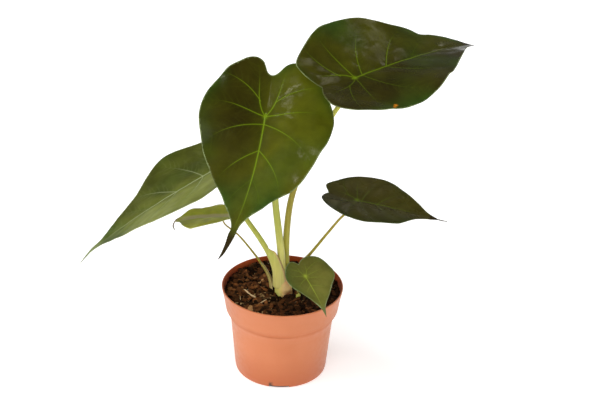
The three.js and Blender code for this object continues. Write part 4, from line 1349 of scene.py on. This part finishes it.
# %% The finish of the mix
def soil_finish(name, dark, light, odd, roughness=0.9, mottle=0.8):
    """Each grain has its own painted tone, which on the lumps also carries painted shade; a few take the
    odd colour.
    """
    material, tree, surface = start_finish(name, roughness, specular_ior_level=0.3)
    tone = painted(tree, "tone")
    colour = blend_colours(tree, tone, dark, light)
    colour = blend_colours(tree, spread(tree, tone, 0.86, 0.95), colour, odd)
    blotch = place_group(tree, DRIFT, Size=500.0, Detail=6.0, Low=0.3, High=0.7,
                         First=(0.55, 0.5, 0.45, 1), Second=(1.0, 1.0, 1.0, 1))
    colour = blend_colours(tree, mottle, colour, blotch.outputs["Color"], "MULTIPLY")
    wire(tree, colour, surface.inputs["Base Color"])
    pores = place_group(tree, PORES, Cells=1400.0, Grain=3800.0, Grain_Share=0.5)
    add_relief(tree, surface, pores.outputs["Height"], 0.6, 0.5)
    return material


PEAT = soil_finish("peat", (0.009, 0.0035, 0.0014, 1), (0.170, 0.062, 0.018, 1),
                   (0.34, 0.14, 0.045, 1))
BARK = soil_finish("bark", (0.090, 0.028, 0.007, 1), (0.40, 0.145, 0.042, 1),
                   (0.70, 0.38, 0.16, 1), 0.8)
FIBRE = soil_finish("fibre", (0.20, 0.10, 0.035, 1), (0.50, 0.33, 0.15, 1),
                    (1.0, 0.72, 0.40, 1), 0.8, 0.3)
GRAIN = soil_finish("white_grain", (0.35, 0.28, 0.20, 1), (0.75, 0.68, 0.58, 1),
                    (0.85, 0.80, 0.70, 1), 0.8)
ground = make_piece("soil_ground", points, faces, [PEAT], ["soil"])
paint(ground, "tone", 0.08 + 0.25 * (rough(points, 3.0, 1.0, 5)))
print(ground.name, len(faces), "faces")

# %% [markdown]
# ## Crumbs, chips and grains
# The mix is sieved peat with bark, so it lies in crumbs, lumps and flat chips of every heading,
# with a few white grains among them. All are balls at heart: made uneven, stretched, turned and
# pressed into the ground. The lumps are painted darker towards the right and the front, as
# painted shade under the leaves.


# %% Balls and places
def ball(level):
    """Points and triangles of a unit ball, as the stuff of every crumb."""
    shape = bmesh.new()
    bmesh.ops.create_icosphere(shape, subdivisions=level, radius=1.0)
    points = np.array([v.co[:] for v in shape.verts])
    faces = np.array([[v.index for v in f.verts] for f in shape.faces])
    shape.free()
    return points, faces


def scatter(count, reach, random, clear=10.0):
    """Random places on the soil, clear of the crown."""
    places = []
    while len(places) < count:
        r, a = reach * math.sqrt(random.random()), 2 * math.pi * random.random()
        x, y = r * math.cos(a), r * math.sin(a)
        if math.hypot(x - CROWN["x"], y - CROWN["y"]) > clear:
            places.append((x, y))
    return np.array(places)


def random_turns(count, random, tilt):
    """Rotation matrices: any heading, and a tilt of up to the given degrees."""
    h = random.uniform(0, 2 * math.pi, count)
    p, r = (np.radians(random.uniform(-tilt, tilt, count)) for _ in range(2))
    zero, one = np.zeros(count), np.ones(count)
    about_z = np.array([[np.cos(h), -np.sin(h), zero], [np.sin(h), np.cos(h), zero],
                        [zero, zero, one]])
    about_y = np.array([[np.cos(p), zero, np.sin(p)], [zero, one, zero],
                        [-np.sin(p), zero, np.cos(p)]])
    about_x = np.array([[one, zero, zero], [zero, np.cos(r), -np.sin(r)],
                        [zero, np.sin(r), np.cos(r)]])
    return np.einsum("ijn,jkn,kln->nil", about_z, about_y, about_x)


# %% Scattering
MANY = 1.0 if FINE else 0.3  # share of the lumps that is made
LUMP_SHADE = 0.62  # how much darker the lumps are painted on their shaded side, as painted shade


def scatter_lumps(name, finish, seed, count, reach, size, flat, long, lift, tilt, level=1,
                  jag=0.25, clear=10.0, centre=(0.0, 0.0)):
    """One kind of lump. Size, flat and long are ranges: breadth in mm, then thickness and
    length as shares of it. Lift is how far a lump stands out, as a share of its thickness."""
    count = int(count * MANY)
    random = np.random.default_rng(seed)
    unit, triangles = ball(level)
    places = scatter(count, reach, random, clear) + centre
    sizes = random.uniform(*size, count)[:, None]
    stretch = np.concatenate([sizes * random.uniform(*long, (count, 1)), sizes,
                              sizes * random.uniform(*flat, (count, 1))], axis=1) / 2
    shapes = unit[None] * (1 + random.uniform(-jag, jag, (count, len(unit), 1)))
    shapes = shapes * stretch[:, None, :]
    shapes = np.einsum("nij,nkj->nki", random_turns(count, random, tilt), shapes)
    heights = soil_height(places[:, 0], places[:, 1])
    centres = np.column_stack([places, heights + lift * stretch[:, 2]])
    points = (shapes + centres[:, None]).reshape(-1, 3)
    faces = (triangles[None] + (np.arange(count) * len(unit))[:, None, None]).reshape(-1, 3)
    piece = make_piece(name, points, faces.tolist(), [finish], ["soil"],
                       smooth=False)
    # painted shade: the lumps towards the right and the front, under the leaves, are darker
    unshaded = 1 - LUMP_SHADE * smoothstep(places[:, 0] - 0.15 * places[:, 1], -22, 6)
    paint(piece, "tone", np.repeat(random.random(count) ** 1.5 * unshaded, len(unit)))
    print(name, count, "lumps,", len(faces), "faces")


scatter_lumps("soil_crumbs", PEAT, 11, 1900, 57.0, (1.0, 2.8), (0.6, 1.0), (1.0, 1.5), 0.2, 40)
scatter_lumps("soil_lumps", PEAT, 12, 560, 55.5, (2.8, 6.2), (0.5, 0.9), (1.0, 1.5), 0.15, 30,
              level=2, jag=0.12)
scatter_lumps("bark_chips", BARK, 13, 300, 54.0, (2.4, 6.0), (0.3, 0.5), (1.2, 2.2), 0.9, 28,
              clear=12.0)
scatter_lumps("pale_flecks", FIBRE, 15, 120, 21.0, (0.8, 2.2), (0.3, 0.6), (1.2, 3.0), 2.4, 30,
              clear=0.0, centre=(-24.0, -26.0))
scatter_lumps("white_grains", GRAIN, 14, 26, 54.0, (0.7, 1.6), (0.6, 1.0), (1.0, 1.4), 0.7, 40)

# %% [markdown]
# ## Fibres and pale bits
# Peat holds thin fibres that curl over the surface, and a few bleached sticks and bits of bark
# catch the eye on the open side of the soil. Fibres fall anywhere, so they wander by chance.
# The palest sticks and bits lie where the portrait has them.


# %% Fibres
def join_threads(name, threads, finish, tones):
    """One piece from many threads, each with its own tone."""
    points, faces, tone, base = [], [], [], 0
    for (own, own_faces), value in zip(threads, tones):
        points.append(own)
        faces += [tuple(v + base for v in face) for face in own_faces]
        tone += [value] * len(own)
        base += len(own)
    piece = make_piece(name, np.concatenate(points), faces, [finish], ["soil"])
    paint(piece, "tone", tone)
    print(name, len(threads), "threads,", len(faces), "faces")


chance = np.random.default_rng(21)
threads, tones = [], []
for x, y in scatter(40, 52.0, chance, clear=11.0):
    heading, turn_rate = chance.uniform(0, 2 * math.pi), chance.uniform(-0.5, 0.5)
    length, count = chance.uniform(4, 13), 9
    path, place = [], np.array([x, y])
    for _ in range(count):
        path.append([*place, 0.0])
        place = place + np.array([math.cos(heading), math.sin(heading)]) * length / count
        heading += turn_rate * chance.uniform(0.2, 1.0)
    path = np.array(path)
    if np.hypot(path[:, 0], path[:, 1]).max() > 56:
        continue
    lift = np.linspace(*chance.uniform(0.3, 2.2, 2), count)
    path[:, 2] = soil_height(path[:, 0], path[:, 1]) + lift
    threads.append(thread(path, chance.uniform(0.12, 0.34)))
    tones.append(chance.random())
join_threads("soil_fibres", threads, FIBRE, tones)

# %% Pale sticks
# Each as its points on the soil, radius and tone.
STICKS = [([(-38.6, -4.0), (-32.4, -9.6), (-26.0, -16.8)], 1.0, 0.99),
          ([(-22.1, -28.6), (-18.9, -26.2), (-14.8, -22.0)], 0.55, 0.93),
          ([(-38.0, -27.2), (-36.4, -29.8)], 0.5, 0.55),
          ([(-16.4, -46.8), (-12.4, -47.6), (-8.4, -46.4)], 0.24, 0.97),
          ([(-30.0, -37.0), (-26.4, -40.6)], 0.30, 0.75)]
sticks = []
for places, radius, _ in STICKS:
    path = evenly(np.array([[x, y, 0.0] for x, y in places]), 1.2)
    path[:, 2] = soil_height(path[:, 0], path[:, 1]) + 1.5
    sticks.append(thread(path, radius, 8))
join_threads("pale_sticks", sticks, FIBRE, [tone for _, _, tone in STICKS])

# %% Pale lumps
# Each as its place on the soil and its length.
PALE_LUMPS = [(-26.0, -15.6, 2.4), (-10.9, -19.3, 2.0), (-44.2, -27.6, 1.8), (-22.1, -42.0, 1.9),
              (-17.8, -39.9, 1.7), (-5.9, -45.0, 1.6)]
unit, triangles = ball(2)
points = []
for x, y, size in PALE_LUMPS:
    uneven = unit * (1 + chance.uniform(-0.12, 0.12, (len(unit), 1)))
    points.append(uneven * [size / 2, size / 2.4, size / 2.6] + [x, y, soil_height(x, y) + 1.4])
faces = np.concatenate([triangles + i * len(unit) for i in range(len(points))])
lumps = make_piece("pale_lumps", np.concatenate(points), faces.tolist(), [FIBRE], ["soil"])
paint(lumps, "tone", np.repeat(chance.uniform(0.7, 0.92, len(points)), len(unit)))
print(lumps.name, len(faces), "faces")

# %% [markdown]
# ## A sprout and a drip tip
# Two small things complete the plant. The stub of a sprout stands at the crown's foot, and the
# right leaf's tip ends in a thin thread, off which rain drips. Both are too fine for the
# skeleton. Each is a short thread along a curve, in the finish of what it grows from.

# %% Sprout
stub = spline([(16.2, -13.0, 84.0), (15.8, -13.6, 87.0), (16.8, -14.4, 90.0)], 6)
points, faces = thread(stub, 2.3, 12)
sprout = make_piece("sprout_stub", points, faces, [PALE_STALK], ["crown"])
paint(sprout, "upward", np.full(len(points), 0.3))
print(sprout.name, len(faces), "faces")

# %% Drip tip
leaf = LEAVES["right"]
tip = bend_sheet(leaf, np.array([[leaf["length"] - 2.0, 0.0], [leaf["length"] - 0.6, 0.0]]))
ahead = (tip[1] - tip[0]) / np.linalg.norm(tip[1] - tip[0])
path = tip[1] + ahead * np.array([[-1.0], [0.0], [0.8]])
path = (path @ leaf_turn(leaf).T + leaf["hub"]).tolist()
x, y, z = path[-1]
path = spline(path + [(x + 3.0, y, z - 0.7), (x + 7.5, y, z - 1.2)], 5)
points, faces = thread(path, 0.55)
drip = make_piece("right_drip_tip", points, faces, [BRONZE_TOP], ["blade_right"])
paint(drip, "tail", np.full(len(points), 0.5))
print(drip.name, len(faces), "faces")

# %% [markdown]
# ## The nursery pot
# A thin pot, blown from terracotta-coloured plastic: a plain cone below, a wide collar above
# and a rolled rim. It is turned from its profile with every corner rounded. The water notches
# in its standing ring and the drain holes in its raised floor are then cut by booleans, as
# they are real openings.


# %% Rounded profiles
def rounded(profile, radius, steps=4):
    """The profile with each inner corner replaced by a short arc."""
    profile = np.array(profile, float)
    line = [profile[0]]
    for before, here, after in zip(profile, profile[1:], profile[2:]):
        a, b = before - here, after - here
        reach = min(radius, 0.4 * np.linalg.norm(a), 0.4 * np.linalg.norm(b))
        start, end = (here + v / np.linalg.norm(v) * reach for v in (a, b))
        for u in np.linspace(0, 1, steps):
            line.append((1 - u) ** 2 * start + 2 * (1 - u) * u * here + u * u * end)
    return np.array(line + [profile[-1]])


def split_spans(line, longest):
    """The same line with every span cut into parts of about this length."""
    spans = [np.linspace(a, b, max(int(np.linalg.norm(b - a) / longest), 1), endpoint=False)
             for a, b in zip(line, line[1:])]
    return np.concatenate(spans + [line[-1:]])


def pot_outside():
    """Radius and height of the outside, from the middle of the underside up to the rim."""
    foot, lift = POT["foot"], POT["lift"]
    return [
        (POT["pad"], 0), (POT["pad"] + 1, lift), (foot - POT["wall"], lift),
        (foot - POT["wall"], 0), (foot, 0), (foot + 1.2, 0.9), (foot + 1.7, 4),
        (50.6, 54), (51.6, 59), (52.9, 62.4), (54.2, 64.9), (55.6, 67.4), (56.3, 71),
        POT["collar_mid"], (POT["rim"] - 0.2, POT["height"] - 1.6),
        (POT["rim"], POT["height"] - 0.6), (POT["rim"] - 0.5, POT["height"]),
    ]


# %% Cutting
def apply_cut(piece, cutters):
    """Cuts each cutter out of the piece for good."""
    for cutter in cutters:
        modifier = piece.modifiers.new("cut", "BOOLEAN")
        modifier.operation, modifier.solver, modifier.object = "DIFFERENCE", "EXACT", cutter
    bpy.context.view_layer.update()
    cut = bpy.data.meshes.new_from_object(
        piece.evaluated_get(bpy.context.evaluated_depsgraph_get()))
    piece.modifiers.clear()
    piece.data = cut
    for cutter in cutters:
        bpy.data.objects.remove(cutter)


def cutter(points, faces):
    mesh = bpy.data.meshes.new("cutter")
    mesh.from_pydata((np.asarray(points) * MM).tolist(), [], faces)
    piece = bpy.data.objects.new("cutter", mesh)
    scene.collection.objects.link(piece)
    return piece


# %% The pot's finish
INSIDE_SHADE, FOOT_AND_COLLAR_SHADE = (0.46, 0.075, 0.010, 1), (0.44, 0.110, 0.031, 1)
ABOVE_SOIL_DARK, DIRT = (0.055, 0.017, 0.006, 1), (0.10, 0.035, 0.012, 1)
pot_finish, tree, surface = start_finish(
    "terracotta_plastic", 0.42, subsurface_weight=0.06, subsurface_scale=0.003,
    specular_ior_level=0.35, sheen_weight=0.09, sheen_roughness=0.5)
tone = place_group(tree, DRIFT, Size=16.0, Detail=3.0, Low=0.3, High=0.7,
                   First=(0.59, 0.192, 0.076, 1), Second=(0.53, 0.160, 0.057, 1))
# painted shade: the inside of the pot is darker
colour = blend_colours(tree, painted(tree, "inside"), tone.outputs["Color"], INSIDE_SHADE)
# painted shade: darker at the foot, in the hollow below the collar and along a line under it
colour = blend_colours(tree, painted(tree, "painted_shade_low"), colour, FOOT_AND_COLLAR_SHADE)
# the inside is darker just above the soil
colour = blend_colours(tree, painted(tree, "darker_above_soil"), colour, ABOVE_SOIL_DARK)
smudge = place_group(tree, DRIFT, Size=420.0, Detail=4.0, Low=0.30, High=0.55)
dirt = calculate(tree, "MULTIPLY", painted(tree, "smudge"), smudge.outputs["Mask"])
colour = blend_colours(tree, dirt, colour, DIRT)
wire(tree, colour, surface.inputs["Base Color"])
gloss = place_group(tree, DRIFT, Size=220.0, Detail=4.0, Low=0.3, High=0.7)
roughness = spread(tree, gloss.outputs["Mask"], 0.0, 1.0, 0.36, 0.50)
matt = calculate(tree, "MULTIPLY", painted(tree, "below_collar"), 0.5)
wire(tree, calculate(tree, "ADD", roughness, matt), surface.inputs["Roughness"])
pores = place_group(tree, PORES, Cells=1300.0, Grain=3000.0, Grain_Share=0.5)
add_relief(tree, surface, pores.outputs["Height"], 0.12, 0.1)

# %% Turning the pot
POT_SIDES = 240 if FINE else 96
outer = split_spans(rounded(pot_outside(), 0.8), 2.5)
inner = rounded([(POT["rim"] - 1.2, POT["height"])] + pot_inside(), 0.6)
line = np.concatenate([outer, inner])
points, faces = ring_grid(line[:, 0], line[:, 1], POT_SIDES)
pot = make_piece("nursery_pot", points, faces, [pot_finish], ["pot"])

# %% Water notches and drain holes
NOTCHES, NOTCH_WIDTH, NOTCH_REACH = 3, 20.0, 4.5  # reach: to either side of the ring
HOLES, HOLE_RADIUS, HOLE_RING = 6, 2.5, 32.0  # ring: how far the holes are from the axis
BOX_FACES = [(0, 1, 3, 2), (4, 6, 7, 5), (0, 4, 5, 1), (2, 3, 7, 6), (0, 2, 6, 4), (1, 5, 7, 3)]
cutters = []
for i in range(NOTCHES):
    angle = math.radians(-90 + 360 * i / NOTCHES)
    box = np.array([[x, y, z] for x in (-NOTCH_REACH, NOTCH_REACH)
                    for y in (-NOTCH_WIDTH / 2, NOTCH_WIDTH / 2)
                    for z in (-POT["lift"], POT["lift"])], float)
    box[:, 0] += POT["foot"]
    c, s = math.cos(angle), math.sin(angle)
    box[:, :2] = box[:, :2] @ np.array([[c, s], [-s, c]])
    cutters.append(cutter(box, BOX_FACES))
for i in range(HOLES):
    angle = 2 * math.pi * (i + 0.5) / HOLES
    hole, hole_faces = ring_grid([HOLE_RADIUS] * 2, [-4.0, 8.0], 32)
    hole[:, 0] += HOLE_RING * math.cos(angle)
    hole[:, 1] += HOLE_RING * math.sin(angle)
    cutters.append(cutter(hole, hole_faces))
apply_cut(pot, cutters)
print(pot.name, len(pot.data.polygons), "faces")

# %% [markdown]
# ## Painted shade and a smudge on the pot
# The inside is painted darker as painted shade, and darker still just above the soil, most on
# the left. The foot, the hollow below the collar and a thin line under it at the front are
# painted darker as painted shade, and one notch holds a smudge of dirt. These are masks on the
# pot's points, made after the cuts, as a cut renews the points.

# %% Painting the pot
place = np.zeros(len(pot.data.vertices) * 3)
pot.data.vertices.foreach_get("co", place)
place = place.reshape(-1, 3) / MM
from_axis = np.hypot(place[:, 0], place[:, 1])
wall = outer[outer[:, 0] > POT["foot"]]
skin = np.interp(place[:, 2], wall[:, 1], wall[:, 0])
within = smoothstep(skin - from_axis, 0.4, 1.0)
# painted shade over the inside
paint(pot, "inside", within)
# the inside is darker just above the soil, most on the left
above_soil = place[:, 2] - soil_height(place[:, 0], place[:, 1])
above_soil_darkening = 0.85 * within * (1 - smoothstep(above_soil, 0.5, 5.5))
paint(pot, "darker_above_soil", above_soil_darkening * (1 - 0.8 * smoothstep(place[:, 0], -25, 5)))
spot = np.linalg.norm(place - [-8.5, -45.0, 3.6], axis=1)
paint(pot, "smudge", np.clip(1.3 * (1 - smoothstep(spot, 1.2, 3.2)), 0, 1))
# painted shade: a thin dark line under the collar, at the front
shade_line = np.exp(-((place[:, 2] - 63.2) / 1.1) ** 2) * (from_axis > skin - 0.6)
shade_line *= (1 - smoothstep(np.abs(place[:, 0] + 3), 8, 30)) * (place[:, 1] < 0)
# painted shade in the hollow below the collar, which is also made mattier
below_collar = np.exp(-((place[:, 2] - 64.6) / 3.2) ** 2) * (from_axis > skin - 0.6)
paint(pot, "below_collar", below_collar)
# painted shade: darker towards the foot, and in the hollow and the line below the collar
foot_and_collar_shade_mask = np.maximum(0.85 * (1 - smoothstep(place[:, 2], 0, 40)), 0.42 * below_collar)
paint(pot, "painted_shade_low", np.maximum(foot_and_collar_shade_mask, shade_line))
print("painted on the pot:", [layer.name for layer in pot.data.attributes][-5:])

# %% [markdown]
# ## The floor
# The portrait has a white ground that melts into a white background, with hardly a shadow.
# Photographers get that from a light table: a white sheet that also glows a little from
# below. A wide pale plane does the same; it isn't part of the plant.
# Right under the pot the sheet is painted dark, as painted shade, and doesn't glow, or its
# light would shine out of the notches in the foot.

# %% Floor
GLOW = 0.45  # the table's own light
COVERED, OPEN = 0.0425, 0.0445  # metres from the pot's axis: dark up to one, open from the other
SHADE_UNDER_POT, WHITE = (0.06, 0.04, 0.03, 1), (0.93, 0.93, 0.93, 1)
REACH, DROP = 6.0, 0.0001  # metres; a hair below the pot's foot, so that no faces coincide
floor_finish, tree, surface = start_finish("pale_floor", 0.9, specular_ior_level=0.2)
surface.inputs["Emission Color"].default_value = (1.0, 1.0, 1.0, 1)
from_pot = add_node(tree, "ShaderNodeVectorMath", operation="LENGTH")
wire(tree, add_node(tree, "ShaderNodeTexCoord").outputs["Object"], from_pot.inputs[0])
open_table = spread(tree, from_pot.outputs["Value"], COVERED, OPEN)
# painted shade: the sheet under the pot is dark
wire(tree, blend_colours(tree, open_table, SHADE_UNDER_POT, WHITE), surface.inputs["Base Color"])
wire(tree, calculate(tree, "MULTIPLY", open_table, GLOW), surface.inputs["Emission Strength"])
mesh = bpy.data.meshes.new("floor")
corners = [(x * REACH, y * REACH, 0) for x, y in ((-1, -1), (1, -1), (1, 1), (-1, 1))]
mesh.from_pydata(corners, [], [(0, 1, 2, 3)])
mesh.materials.append(floor_finish)
floor = bpy.data.objects.new("floor", mesh)
floor.location.z = -DROP
scene.collection.objects.link(floor)
print(floor.name, 2 * REACH, "m wide")
